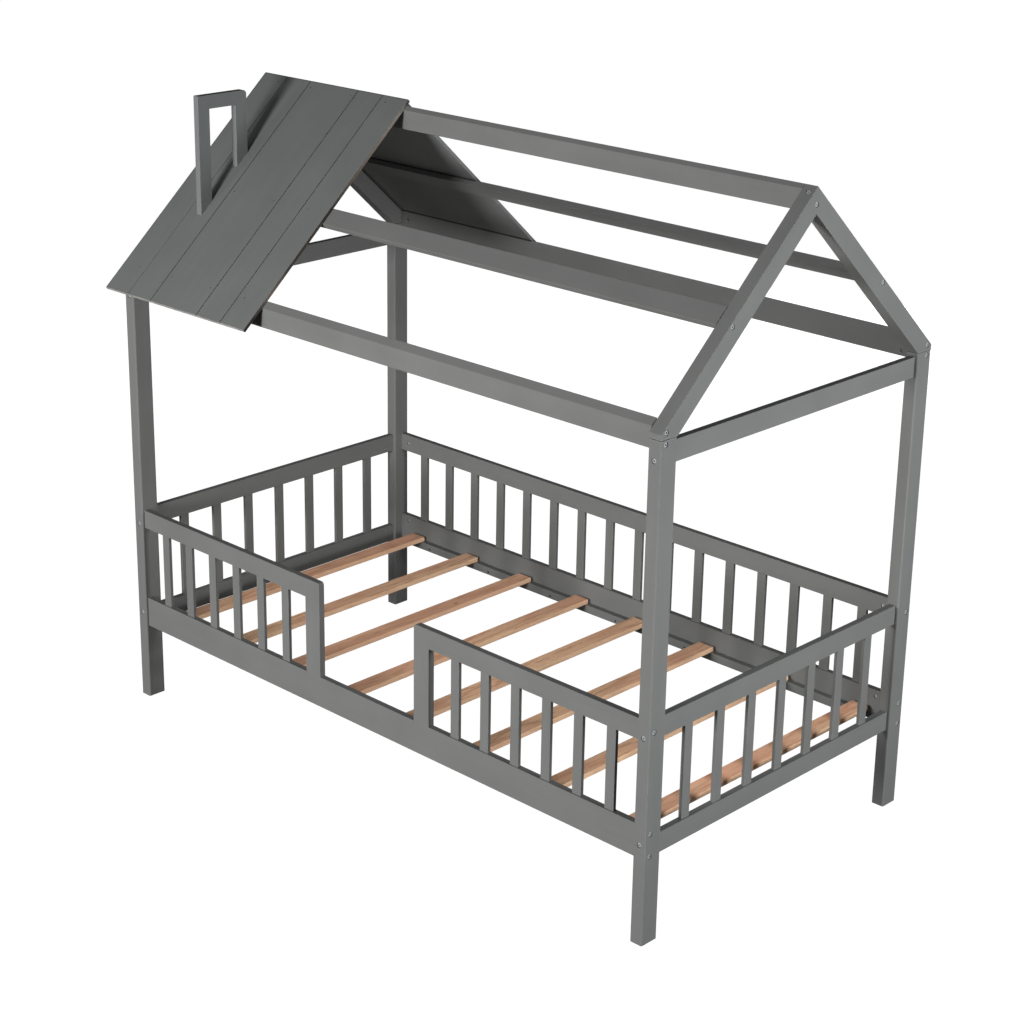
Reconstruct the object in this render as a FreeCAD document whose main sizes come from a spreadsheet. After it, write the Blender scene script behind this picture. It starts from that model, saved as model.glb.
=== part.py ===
# House frame bed: four posts, rails and spindles round a slatted bed base, a fall guard with an
# entry gap on the front, and a pitched frame overhead that carries a short boarded roof with a
# chimney at the head end.
#
# Millimetres, +Z up.  X runs along the bed from the head (-X, where the roof is) to the foot (+X).
# The front, with the entry gap, faces -Y.  The origin is on the floor, in the middle of the space
# that the whole bed takes.  The roof reaches past the head posts by "gable_lap", so the middle of
# the bed itself, "mid_x", lies half of that towards the foot.
import FreeCAD
import Part
import os
from collections import defaultdict
import Sketcher
from FreeCAD import Placement, Rotation, Vector

# Every size that can be set by itself: alias, value, meaning.
SIZES = [
    ("bed_length", 2000, "over the posts"),
    ("bed_width", 1072, "over the posts"),
    ("post_height", 1300, "floor to the seat of the rafters"),
    ("ridge_height", 1805, "floor to the apex of the rafters and the ridge beam"),
    ("post_x", 38, "post and rafter, along the bed"),
    ("post_y", 57, "post, across the bed"),
    ("post_round", 4.5, "eased edges of the posts"),
    ("board", 19, "thickness of every rail, beam and upright"),
    ("edge_round", 1.2, "eased edges of boards"),
    ("side_recess", 8, "side boards behind the posts' outer faces"),
    ("end_recess", 10, "end boards behind the posts' outer faces"),
    ("lower_rail_z", 230, "underside of the lower rails"),
    ("side_rail_depth", 90, "height of the lower side rails"),
    ("end_rail_depth", 55, "height of the lower end rails"),
    ("upper_rail_z", 543, "underside of the upper rails and the guard rails"),
    ("upper_rail_depth", 55, "height of the upper rails and the guard rails"),
    ("tie_drop", 66, "underside of a tie beam below the post top"),
    ("tie_depth", 55, "height of a tie beam"),
    ("entry_gap", 372, "clear opening between the two guards"),
    ("upright_width", 57, "guard upright, along the bed"),
    ("upright_round", 10, "top corner of a guard upright"),
    ("spindle_width", 30, "wide face of a spindle"),
    ("spindle_board", 10, "thickness of a spindle"),
    ("tenon", 8, "how far a spindle is let into a rail"),
    ("socket_play", 0.3, "clearance round a spindle in its socket"),
    ("guard_spindles", 6, "spindles in each front guard"),
    ("back_spindles", 16, "spindles in the back"),
    ("end_spindles", 7, "spindles in the head end and in the foot end"),
    ("ledger_board", 20, "slat ledger, across the bed"),
    ("ledger_depth", 25, "height of a slat ledger"),
    ("ledger_end_gap", 60, "ledger end short of the post"),
    ("slat_width", 54, "along the bed"),
    ("slat_board", 15, "thickness of a slat"),
    ("slat_round", 2, "eased edges of a slat"),
    ("slat_end_play", 8, "slat end short of the side rail"),
    ("slat_head_inset", 129, "middle of the first slat from the head face"),
    ("slat_foot_inset", 112, "middle of the last slat from the foot face"),
    ("eave_drop", 27, "underside of an eave beam below the post top"),
    ("eave_rise", 27, "outer top edge of an eave beam above the post top"),
    ("rafter_depth", 50, "square to the slope"),
    ("rafter_heel", 15, "upright cut of a rafter above the post top"),
    ("purlin_width", 55, "along the slope"),
    ("purlin_reach", 290, "lower edge of a purlin up the slope from the eave edge"),
    ("ridge_board", 22, "thickness of the ridge beam"),
    ("ridge_depth", 63, "height of the ridge beam"),
    ("panel_board", 9, "thickness of a roof panel"),
    ("panel_width", 610, "roof panel, along the bed"),
    ("gable_lap", 8, "roof panel past the head posts"),
    ("eave_overhang", 82, "roof panel below the eave edge, along the slope"),
    ("ridge_lap", 16, "front roof panel past the ridge line, over the back panel's edge"),
    ("groove_width", 3.2, "mouth of a V groove between two roof planks"),
    ("groove_depth", 2.4, "depth of that groove"),
    ("chimney_board", 20, "thickness of the chimney, along the bed"),
    ("chimney_x", 134, "chimney from the head face"),
    ("chimney_width", 172, "across the bed"),
    ("chimney_leg", 39, "width of its legs and of its top bar"),
    ("chimney_to_ridge", 201, "chimney's inner side to the ridge line"),
    ("chimney_rise", 10, "top of the chimney above the apex"),
    ("chimney_round", 12, "top corner of the chimney beside the ridge"),
    ("bolt_shank", 6, "diameter"),
    ("bolt_head", 13, "diameter"),
    ("bolt_head_height", 4, "cylindrical head"),
    ("bolt_sink", 1, "head below the surface"),
    ("bolt_key", 5, "hexagon socket across its flats"),
    ("bolt_key_depth", 2.4, "depth of that socket"),
    ("bore_play", 0.5, "clearance round a bolt and its head, on the radius"),
    ("nut_diameter", 10, "barrel nut"),
    ("nut_length", 14, "barrel nut"),
    ("nut_slot", 1.6, "width and depth of a barrel nut's driver slot"),
    ("nut_play", 0.2, "clearance round a barrel nut, on the radius"),
    ("nut_setback", 32, "barrel nut from the end of its rail"),
    ("thread_play", 0.05, "bolt in its nut, on the radius"),
    ("apex_screw", 46, "length below the head of the screw that joins two rafters"),
    ("apex_screw_inset", 20, "that screw down the slope from the apex"),
    ("dowel_diameter", 8, "wooden dowel"),
    ("dowel_length", 28, "wooden dowel"),
    ("dowel_depth", 12, "dowel in the post, rafter or rail that it comes out of"),
    ("dowel_chamfer", 1, "chamfer at a dowel's ends"),
    ("dowel_play", 0.1, "clearance round a dowel, on the radius"),
    ("screw_shank", 3.2, "wood screw, diameter"),
    ("screw_head", 6.6, "wood screw, diameter of its countersunk head"),
    ("cross_arm", 1.98, "cross recess of a wood screw, from its middle to its end"),
    ("cross_half", 0.46, "half the width of an arm of that recess"),
    ("cross_depth", 1.32, "depth of that recess"),
    ("screw_play", 0.1, "clearance round a wood screw, on the radius"),
    ("roof_screw", 16, "length"),
    ("ledger_screw", 32, "length"),
    ("chimney_screw", 30, "length"),
    ("side_bolt_low", 11, "lower bolt of a lower side rail above its underside"),
    ("side_bolt_high", 19, "upper bolt of a lower side rail below its top"),
    ("side_dowel", 17.5, "dowel of an upper side rail above the rail's middle"),
    ("eave_bolt", 15, "bolt from a post into an eave beam above the beam's underside"),
    ("heel_bolt", 16, "bolt from a rafter into an eave beam above the post top"),
    ("heel_dowel", 38, "dowel between a post and its rafter behind the side's outer face"),
    ("end_bolt_low", 14, "bolt of a lower end rail below its top"),
    ("end_bolt_high", 12, "bolt of an upper end rail above its underside"),
    ("tie_bolt", 15, "bolt of a tie beam above its underside"),
    ("end_dowel", 26, "dowel of an end board from its bolt"),
    ("ridge_bolt", 44, "bolt of the ridge beam below the apex"),
    ("ridge_dowel", 24, "dowel of the ridge beam above that bolt"),
    ("apex_screw_setback", 17, "apex screw behind the rafters' outer faces"),
    ("purlin_bolt", 11, "bolt of a purlin up the slope from its lower edge"),
    ("purlin_dowel", 38, "dowel of a purlin up the slope from its lower edge"),
    ("purlin_bolt_depth", 11.4, "that bolt and that dowel below the roof's plane"),
    ("guard_dowel", 13, "dowels of a guard upright to each side of their middle"),
    ("screw_edge", 76, "outer roof screws from the panel's edge"),
    ("screw_inner", 85, "inner roof screws from the panel's middle"),
    ("eave_row", 10, "lowest row of roof screws up the slope from the eave edge"),
    ("ridge_row", 7, "highest row of roof screws below the ridge line"),
    ("ledger_screw_pitch", 270, "between the screws of a ledger"),
    ("ledger_screw_end", 20, "the least that those screws are from the ledger's end"),
    ("ledger_screw_z", 9, "those screws above the ledger's underside"),
]

# How far each slat lies from an even spacing, in order from the head.  Slats lie loose.
SLAT_SLIP = [0, -5, -21, -31, -47, -43, -22, 0]

# Where the V grooves of a roof panel run, in sixths of its width from its middle.
GROOVE_SIXTHS = (-2, -1, 1, 2)

# Millimetres within which a point of an edge counts as being at a place.
NEAR = 0.1

# Places worked out from the sizes: alias, formula.  Those in x are measured from mid_x and those
# in y from the middle of the bed, so that one value serves both ends or both sides.
PLACES = [
    ("mid_x", "dims.gable_lap / 2"),
    ("end_x", "dims.bed_length / 2"),
    ("side_y", "dims.bed_width / 2"),
    ("post_cx", "dims.bed_length / 2 - dims.post_x / 2"),
    ("post_cy", "dims.bed_width / 2 - dims.post_y / 2"),
    ("inner_x", "dims.bed_length / 2 - dims.post_x"),
    ("inner_y", "dims.bed_width / 2 - dims.post_y"),
    ("side_board_cy", "dims.bed_width / 2 - dims.side_recess - dims.board / 2"),
    ("side_board_inner", "dims.bed_width / 2 - dims.side_recess - dims.board"),
    ("end_board_cx", "dims.bed_length / 2 - dims.end_recess - dims.board / 2"),
    ("end_board_inner", "dims.bed_length / 2 - dims.end_recess - dims.board"),
    ("side_rail_top", "dims.lower_rail_z + dims.side_rail_depth"),
    ("end_rail_top", "dims.lower_rail_z + dims.end_rail_depth"),
    ("tie_z", "dims.post_height - dims.tie_drop"),
    ("eave_z", "dims.post_height - dims.eave_drop"),
    ("ledger_top", "dims.lower_rail_z + dims.ledger_depth"),
    ("upright_cx", "dims.entry_gap / 2 + dims.upright_width / 2"),
    ("guard_start", "dims.entry_gap / 2 + dims.upright_width"),
    ("guard_span", "inner_x - guard_start"),
    ("guard_cx", "(inner_x + guard_start) / 2"),
    ("slat_run", "dims.bed_length - dims.slat_head_inset - dims.slat_foot_inset"),
    ("slat_pitch", f"slat_run / {len(SLAT_SLIP) - 1}"),
    ("eave_edge_z", "dims.post_height + dims.eave_rise"),
    ("eave_edge_y", "dims.bed_width / 2 - dims.side_recess"),
    ("roof_angle", "atan((dims.ridge_height - eave_edge_z) / eave_edge_y)"),
    ("roof_length", "eave_edge_y / cos(roof_angle)"),
    ("rafter_angle", "atan((dims.ridge_height - dims.post_height - dims.rafter_heel) / side_y)"),
    ("rafter_drop", "dims.rafter_depth / cos(rafter_angle)"),
    ("rafter_seat", "(rafter_drop - dims.rafter_heel) / tan(rafter_angle)"),
    ("purlin_mid", "dims.purlin_reach + dims.purlin_width / 2"),
    ("panel_cx", "-dims.bed_length / 2 - dims.gable_lap + dims.panel_width / 2"),
    ("chimney_cx", "-dims.bed_length / 2 + dims.chimney_x + dims.chimney_board / 2"),
    ("bolt_seat", "dims.bolt_sink + dims.bolt_head_height"),
    ("bolt_past_nut", "dims.bolt_shank"),
]

ENDS = {"head": -1, "foot": 1}
SIDES = {"front": -1, "back": 1}

# Turns that bring a fastener's own +Z, which points out of the wood, to a direction of the bed.
FACING = {
    "+x": Rotation(Vector(0, 1, 0), 90),
    "-x": Rotation(Vector(0, 1, 0), -90),
    "+y": Rotation(Vector(1, 0, 0), -90),
    "-y": Rotation(Vector(1, 0, 0), 90),
    "+z": Rotation(),
}

doc = FreeCAD.newDocument("house_frame_bed")
blanks = {}
cutters = defaultdict(list)
fasteners = defaultdict(list)


# ---------------------------------------------------------------------------------------------
# Sheets
# ---------------------------------------------------------------------------------------------

def fill_sheet(name, rows):
    """Write one row for each (alias, content, note) and return the sheet."""
    sheet = doc.addObject("Spreadsheet::Sheet", name)
    for number, (alias, content, note) in enumerate(rows, 1):
        sheet.set(f"A{number}", alias)
        sheet.set(f"B{number}", content)
        sheet.set(f"C{number}", note)
        sheet.setAlias(f"B{number}", alias)
    return sheet


dims = fill_sheet("dims", [(alias, str(value), note) for alias, value, note in SIZES])
places = fill_sheet("places", [(alias, "=" + formula, "") for alias, formula in PLACES])
doc.recompute()


def value(owner, expression):
    """The present value of an expression, as a plain number."""
    result = owner.evalExpression(expression)
    return float(getattr(result, "Value", result))


# ---------------------------------------------------------------------------------------------
# Solids made from sketches
# ---------------------------------------------------------------------------------------------

def outline(body, plane, points, rise="0"):
    """A closed sketch of straight lines on one of the body's own planes, "rise" out from it.

    Each corner is a pair of expressions, measured from the body's origin.
    """
    number = sum(1 for item in body.Group if item.TypeId == "Sketcher::SketchObject")
    sketch = body.newObject("Sketcher::SketchObject", f"{body.Name}_outline_{number}")
    origin_plane = next(item for item in body.Origin.OriginFeatures if item.Role == plane)
    sketch.AttachmentSupport = [(origin_plane, "")]
    sketch.MapMode = "FlatFace"
    sketch.setExpression("AttachmentOffset.Base.z", rise)
    corners = [Vector(value(body, across), value(body, up), 0) for across, up in points]
    count = len(corners)
    for index, corner in enumerate(corners):
        sketch.addGeometry(Part.LineSegment(corner, corners[(index + 1) % count]), False)
    for index in range(count):
        sketch.addConstraint(Sketcher.Constraint("Coincident", index, 2, (index + 1) % count, 1))
    for index, (corner, pair) in enumerate(zip(corners, points)):
        for axis, place, expression in zip("XY", corner, pair):
            constraint = Sketcher.Constraint(f"Distance{axis}", -1, 1, index, 1, place)
            key = sketch.addConstraint(constraint)
            sketch.setExpression(f"Constraints[{key}]", expression)
    return sketch


def rectangle(half_width, low, high):
    """Corners of a rectangle that is centred across and runs from low to high."""
    return [(f"-({half_width})", low), (half_width, low), (half_width, high), (f"-({half_width})", high)]


def new_body(label):
    """An empty body, which is also the blank that later bores are cut from."""
    body = doc.addObject("PartDesign::Body", f"{label}_blank")
    blanks[label] = body
    return body


def pad(body, sketch, length, symmetric=True):
    """Raise a sketch to a solid, to both sides of its plane or along its normal."""
    feature = body.newObject("PartDesign::Pad", f"{body.Name}_pad")
    feature.Profile = sketch
    feature.setExpression("Length", length)
    if symmetric:
        feature.SideType = "Symmetric"
    doc.recompute()
    return feature


def pocket_through(body, sketch):
    """Cut a sketch right through the body to both sides, and make sure that it cut."""
    before = body.Shape.Volume
    feature = body.newObject("PartDesign::Pocket", f"{body.Name}_pocket")
    feature.Profile = sketch
    feature.Type = "ThroughAll"
    feature.SideType = "Symmetric"
    doc.recompute()
    if feature.Shape.Volume >= before:
        raise RuntimeError(f"{feature.Name} cuts nothing")
    return feature


def ease(body, base, radius, wanted):
    """Round the edges of a feature for which wanted(edge) is true."""
    names = [f"Edge{number}" for number, edge in enumerate(base.Shape.Edges, 1) if wanted(edge)]
    feature = body.newObject("PartDesign::Fillet", f"{body.Name}_round")
    feature.Base = (base, names)
    feature.setExpression("Radius", radius)
    doc.recompute()
    return feature


def runs_along(axis):
    """A test for straight edges that run along one axis."""
    def wanted(edge):
        direction = edge.tangentAt(edge.FirstParameter)
        return abs(abs(getattr(direction, axis)) - 1) < 1e-6
    return wanted


def move(target, x="0", y="0", z="0", turn=None, angle=None):
    """Bind an object's place to expressions; angle is an expression for the turn's angle."""
    target.Placement = Placement(Vector(), turn or Rotation())
    for axis, expression in zip("xyz", (x, y, z)):
        target.setExpression(f"Placement.Base.{axis}", expression)
    if angle:
        target.setExpression("Placement.Rotation.Angle", angle)


def on_x(end, distance):
    """Expression for a place in x at a distance from the bed's middle, towards one end."""
    return f"places.mid_x + {ENDS[end]} * ({distance})"


def on_y(side, distance):
    """Expression for a place in y at a distance from the bed's middle, towards one side."""
    return f"{SIDES[side]} * ({distance})"


def side_board(label, length, depth):
    """A board along X, standing on its own origin with its length centred."""
    body = new_body(label)
    solid = pad(body, outline(body, "YZ_Plane", rectangle("dims.board / 2", "0", depth)), length)
    ease(body, solid, "dims.edge_round", runs_along("x"))
    return body


def end_board(label, length, depth):
    """A board along Y, standing on its own origin with its length centred."""
    body = new_body(label)
    solid = pad(body, outline(body, "XZ_Plane", rectangle("dims.board / 2", "0", depth)), length)
    ease(body, solid, "dims.edge_round", runs_along("y"))
    return body


def roof_slope(side, body, along):
    """Lay a body on a roof slope: its own +Z is square to the slope and its |y| climbs it."""
    turn = Rotation(Vector(-SIDES[side], 0, 0), value(body, "places.roof_angle"))
    move(body, along, on_y(side, "places.eave_edge_y"), "places.eave_edge_z",
         turn=turn, angle="places.roof_angle")


# ---------------------------------------------------------------------------------------------
# Frame pieces
# ---------------------------------------------------------------------------------------------

def make_post(end, side):
    """A post with its four upright edges eased."""
    body = new_body(f"post_{side}_{end}")
    half_y = "dims.post_y / 2"
    solid = pad(body, outline(body, "XY_Plane", rectangle("dims.post_x / 2", f"-{half_y}", half_y)),
                "dims.post_height", symmetric=False)
    ease(body, solid, "dims.post_round", runs_along("z"))
    move(body, on_x(end, "places.post_cx"), on_y(side, "places.post_cy"))


def make_side_rails():
    """The two lower side rails and the upper rail of the back."""
    length = "2 * places.inner_x"
    for side in SIDES:
        body = side_board(f"lower_rail_{side}", length, "dims.side_rail_depth")
        move(body, "places.mid_x", on_y(side, "places.side_board_cy"), "dims.lower_rail_z")
    body = side_board("upper_rail_back", length, "dims.upper_rail_depth")
    move(body, "places.mid_x", on_y("back", "places.side_board_cy"), "dims.upper_rail_z")


def make_guard(end):
    """One half of the front guard: a rail from the post to an upright beside the entry gap."""
    rail = side_board(f"guard_rail_{end}", "places.guard_span", "dims.upper_rail_depth")
    move(rail, on_x(end, "places.guard_cx"), on_y("front", "places.side_board_cy"),
         "dims.upper_rail_z")

    upright = new_body(f"guard_upright_{end}")
    height = "dims.upper_rail_z + dims.upper_rail_depth - places.side_rail_top"
    sketch = outline(upright, "XZ_Plane", rectangle("dims.upright_width / 2", "0", height))
    solid = pad(upright, sketch, "dims.board")
    free_x = -ENDS[end] * value(upright, "dims.upright_width / 2")
    top_z = value(upright, height)

    def is_top_corner(edge):
        middle = edge.CenterOfMass
        at_top = abs(middle.z - top_z) < NEAR
        return runs_along("y")(edge) and at_top and abs(middle.x - free_x) < NEAR

    def is_free_edge(edge):
        middle = edge.CenterOfMass
        beside_gap = middle.x * free_x > 0 or abs(middle.z - top_z) < NEAR
        return abs(middle.y) > NEAR and middle.z > NEAR and beside_gap

    corner = ease(upright, solid, "dims.upright_round", is_top_corner)
    ease(upright, corner, "dims.edge_round", is_free_edge)
    move(upright, on_x(end, "places.upright_cx"), on_y("front", "places.side_board_cy"),
         "places.side_rail_top")


def make_end_boards(end):
    """The lower rail, the upper rail and the tie beam of one end."""
    length = "2 * places.inner_y"
    rows = {
        f"lower_rail_{end}": ("dims.end_rail_depth", "dims.lower_rail_z"),
        f"upper_rail_{end}": ("dims.upper_rail_depth", "dims.upper_rail_z"),
        f"tie_beam_{end}": ("dims.tie_depth", "places.tie_z"),
    }
    for label, (depth, height) in rows.items():
        body = end_board(label, length, depth)
        move(body, on_x(end, "places.end_board_cx"), z=height)


def make_ledger(side):
    """The batten inside a lower side rail that carries the slats' ends."""
    body = new_body(f"ledger_{side}")
    section = rectangle("dims.ledger_board / 2", "0", "dims.ledger_depth")
    solid = pad(body, outline(body, "YZ_Plane", section),
                "2 * (places.inner_x - dims.ledger_end_gap)")
    ease(body, solid, "dims.edge_round", runs_along("x"))
    move(body, "places.mid_x", on_y(side, "places.side_board_inner - dims.ledger_board / 2"),
         "dims.lower_rail_z")


def make_slats():
    """The slats, each eased all round, laid on the ledgers."""
    for index, slip in enumerate(SLAT_SLIP):
        body = new_body(f"slat_{index + 1}")
        section = rectangle("dims.slat_width / 2", "0", "dims.slat_board")
        solid = pad(body, outline(body, "XZ_Plane", section),
                    "2 * (places.side_board_inner - dims.slat_end_play)")
        ease(body, solid, "dims.slat_round", lambda edge: True)
        along = f"dims.slat_head_inset + {index} * places.slat_pitch + ({slip})"
        move(body, f"places.mid_x - places.end_x + {along}", z="places.ledger_top")


def make_eave_beam(side):
    """A side beam between the posts' tops, its top bevelled to the roof's slope."""
    body = new_body(f"eave_beam_{side}")
    half = "dims.board / 2"
    outer_z = "dims.eave_drop + dims.eave_rise"
    inner_z = f"{outer_z} + dims.board * tan(places.roof_angle)"
    outer_y, inner_y = (f"{SIDES[side]} * {half}", f"{-SIDES[side]} * {half}")
    section = [(outer_y, "0"), (inner_y, "0"), (inner_y, inner_z), (outer_y, outer_z)]
    solid = pad(body, outline(body, "YZ_Plane", section), "2 * places.inner_x")
    ease(body, solid, "dims.edge_round", runs_along("x"))
    move(body, "places.mid_x", on_y(side, "places.side_board_cy"), "places.eave_z")


def make_rafter(end, side):
    """A rafter from its seat on the post to a plumb mitre at the apex."""
    body = new_body(f"rafter_{side}_{end}")
    outer = on_y(side, "places.side_y")
    seat = on_y(side, "places.side_y - places.rafter_seat")
    section = [
        (outer, "dims.post_height"),
        (seat, "dims.post_height"),
        ("0", "dims.ridge_height - places.rafter_drop"),
        ("0", "dims.ridge_height"),
        (outer, "dims.post_height + dims.rafter_heel"),
    ]
    solid = pad(body, outline(body, "YZ_Plane", section), "dims.post_x")

    def is_long(edge):
        return edge.Length > value(body, "places.side_y") / 2

    ease(body, solid, "dims.edge_round", is_long)
    move(body, on_x(end, "places.post_cx"))


def make_ridge_beam():
    """The beam between the two gables' apexes, peaked to both slopes."""
    body = new_body("ridge_beam")
    half = "dims.ridge_board / 2"
    bottom = "dims.ridge_height - dims.ridge_depth"
    shoulder = f"dims.ridge_height - {half} * tan(places.roof_angle)"
    section = [(f"-{half}", bottom), (half, bottom), (half, shoulder),
               ("0", "dims.ridge_height"), (f"-{half}", shoulder)]
    solid = pad(body, outline(body, "YZ_Plane", section), "2 * places.inner_x")

    def is_lower_corner(edge):
        return runs_along("x")(edge) and edge.CenterOfMass.z < value(body, shoulder) - NEAR

    ease(body, solid, "dims.edge_round", is_lower_corner)
    move(body, "places.mid_x")


def make_purlin(side):
    """The beam half way up a slope, its wide outer face in the roof's plane."""
    body = new_body(f"purlin_{side}")
    near = f"{-SIDES[side]} * dims.purlin_reach"
    far = f"{-SIDES[side]} * (dims.purlin_reach + dims.purlin_width)"
    section = [(near, "-dims.board"), (far, "-dims.board"), (far, "0"), (near, "0")]
    solid = pad(body, outline(body, "YZ_Plane", section), "2 * places.inner_x")
    ease(body, solid, "dims.edge_round", runs_along("x"))
    roof_slope(side, body, "places.mid_x")


def make_roof_panel(side):
    """A boarded panel, square cut at the eave, with V grooves down its slope.

    At the ridge the front panel runs on past the ridge line with a square cut, and the back
    panel is bevelled to meet its underside.
    """
    body = new_body(f"roof_panel_{side}")
    climb = -SIDES[side]
    low = f"{climb} * -dims.eave_overhang"
    if side == "front":
        under = top = f"{climb} * (places.roof_length + dims.ridge_lap)"
    else:
        bevel = "dims.panel_board * tan(90 deg - 2 * places.roof_angle)"
        under = f"{climb} * places.roof_length"
        top = f"{climb} * (places.roof_length - {bevel})"
    section = [(low, "0"), (under, "0"), (top, "dims.panel_board"), (low, "dims.panel_board")]
    pad(body, outline(body, "YZ_Plane", section), "dims.panel_width")
    mouth = "dims.panel_board"
    root = "dims.panel_board - dims.groove_depth"
    for sixths in GROOVE_SIXTHS:
        middle = f"{sixths} * dims.panel_width / 6"
        groove = [(f"{middle} - dims.groove_width / 2", mouth), (middle, root),
                  (f"{middle} + dims.groove_width / 2", mouth)]
        pocket_through(body, outline(body, "XZ_Plane", groove))
    roof_slope(side, body, "places.mid_x + places.panel_cx")


def roof_top(distance):
    """Height of the panels' outer surface at a distance in y from the ridge line."""
    return (f"dims.ridge_height + dims.panel_board / cos(places.roof_angle)"
            f" - ({distance}) * tan(places.roof_angle)")


def make_chimney():
    """A flat arch that stands on the front slope, its feet cut to the slope."""
    body = new_body("chimney")
    top = "dims.ridge_height + dims.chimney_rise"
    inner = "dims.chimney_to_ridge"
    outer = "(dims.chimney_to_ridge + dims.chimney_width)"
    inner_leg = f"({inner} + dims.chimney_leg)"
    outer_leg = f"({outer} - dims.chimney_leg)"
    window_top = f"{top} - dims.chimney_leg"
    section = [
        (f"-{outer}", top), (f"-{outer}", roof_top(outer)),
        (f"-{outer_leg}", roof_top(outer_leg)), (f"-{outer_leg}", window_top),
        (f"-{inner_leg}", window_top), (f"-{inner_leg}", roof_top(inner_leg)),
        (f"-{inner}", roof_top(inner)), (f"-{inner}", top),
    ]
    solid = pad(body, outline(body, "YZ_Plane", section), "dims.chimney_board")
    inner_y = -value(body, inner)
    top_z = value(body, top)

    def is_round_corner(edge):
        middle = edge.CenterOfMass
        return abs(middle.y - inner_y) < NEAR and abs(middle.z - top_z) < NEAR

    ease(body, solid, "dims.chimney_round", is_round_corner)
    move(body, "places.mid_x + places.chimney_cx")


# ---------------------------------------------------------------------------------------------
# Spindles and their sockets
# ---------------------------------------------------------------------------------------------

def spindle_row(label, axis, count, middle, span, across, low, rails):
    """Spindles with equal gaps along a span, and a socket for each in the rails above and below.

    axis is the direction of the row, middle and span give its place along it, and across its
    place the other way.  low is the top of the lower rail.
    """
    members = []
    gap = f"(({span}) - dims.{count} * dims.spindle_width) / (dims.{count} + 1)"
    wide, thin = ("Length", "Width") if axis == "x" else ("Width", "Length")
    for index in range(int(dims.get(count))):
        start = f"{middle} - ({span}) / 2 + {index + 1} * ({gap}) + {index} * dims.spindle_width"
        for play, role in (("0", "spindle"), ("dims.socket_play", "socket")):
            box = doc.addObject("Part::Box", f"{label}_{role}_{index + 1}")
            box.setExpression(wide, f"dims.spindle_width + 2 * {play}")
            box.setExpression(thin, f"dims.spindle_board + 2 * {play}")
            box.setExpression("Height", f"dims.upper_rail_z - ({low}) + 2 * (dims.tenon + {play})")
            along = f"{start} - {play}"
            beside = f"{across} - dims.spindle_board / 2 - {play}"
            x, y = (along, beside) if axis == "x" else (beside, along)
            move(box, x, y, f"{low} - dims.tenon - {play}")
            if role == "spindle":
                members.append(box)
            else:
                for rail in rails:
                    cutters[rail].append(box)
    row = doc.addObject("Part::Compound", label)
    row.Links = members
    return row


def make_spindles():
    """The five rows of spindles, by node name."""
    rows = {}
    for end in ENDS:
        rows[f"guard_spindles_{end}"] = spindle_row(
            f"guard_spindles_{end}", "x", "guard_spindles", on_x(end, "places.guard_cx"),
            "places.guard_span", on_y("front", "places.side_board_cy"), "places.side_rail_top",
            ["lower_rail_front", f"guard_rail_{end}"])
        rows[f"{end}_spindles"] = spindle_row(
            f"{end}_spindles", "y", "end_spindles", "0", "2 * places.inner_y",
            on_x(end, "places.end_board_cx"), "places.end_rail_top",
            [f"lower_rail_{end}", f"upper_rail_{end}"])
    rows["back_spindles"] = spindle_row(
        "back_spindles", "x", "back_spindles", "places.mid_x", "2 * places.inner_x",
        on_y("back", "places.side_board_cy"), "places.side_rail_top",
        ["lower_rail_back", "upper_rail_back"])
    return rows


# ---------------------------------------------------------------------------------------------
# Fasteners: each is a body with its mouth at its origin and its own +Z pointing out of the wood
# ---------------------------------------------------------------------------------------------

def turned(name, profile):
    """A body turned about its own Z from (radius, height) pairs of expressions."""
    body = doc.addObject("PartDesign::Body", name)
    sketch = outline(body, "XZ_Plane", profile)
    feature = body.newObject("PartDesign::Revolution", f"{name}_turn")
    feature.Profile = sketch
    feature.ReferenceAxis = (sketch, ["V_Axis"])
    feature.Angle = 360
    doc.recompute()
    return body


def sink(body, points, rise, depth):
    """Cut a recess of straight sides down from a height of a turned body."""
    before = body.Shape.Volume
    feature = body.newObject("PartDesign::Pocket", f"{body.Name}_recess")
    feature.Profile = outline(body, "XY_Plane", points, rise)
    feature.setExpression("Length", depth)
    doc.recompute()
    if feature.Shape.Volume >= before:
        raise RuntimeError(f"{feature.Name} cuts nothing")


def headed(name, play, through):
    """A bolt, or with play the bore for it, that reaches a length below its head's seat."""
    head = f"dims.bolt_head / 2 + {play}"
    shank = f"dims.bolt_shank / 2 + {play}"
    top = "-dims.bolt_sink" if play == "0" else "0"
    tip = f"-places.bolt_seat - ({through}) - {play}"
    return turned(name, [("0", top), (head, top), (head, "-places.bolt_seat"),
                         (shank, "-places.bolt_seat"), (shank, tip), ("0", tip)])


def make_bolt(name, reach):
    """A bolt with a hexagon socket, and its bore; reach is measured from the wood's face."""
    through = f"{reach} - places.bolt_seat"
    bolt = headed(name, "0", through)
    corner = "dims.bolt_key / 2 / cos(30)"
    hexagon = [(f"{corner} * cos({60 * turn})", f"{corner} * sin({60 * turn})") for turn in range(6)]
    sink(bolt, hexagon, "-dims.bolt_sink", "dims.bolt_key_depth")
    return bolt, headed(f"{name}_bore", "dims.bore_play", through)


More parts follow.
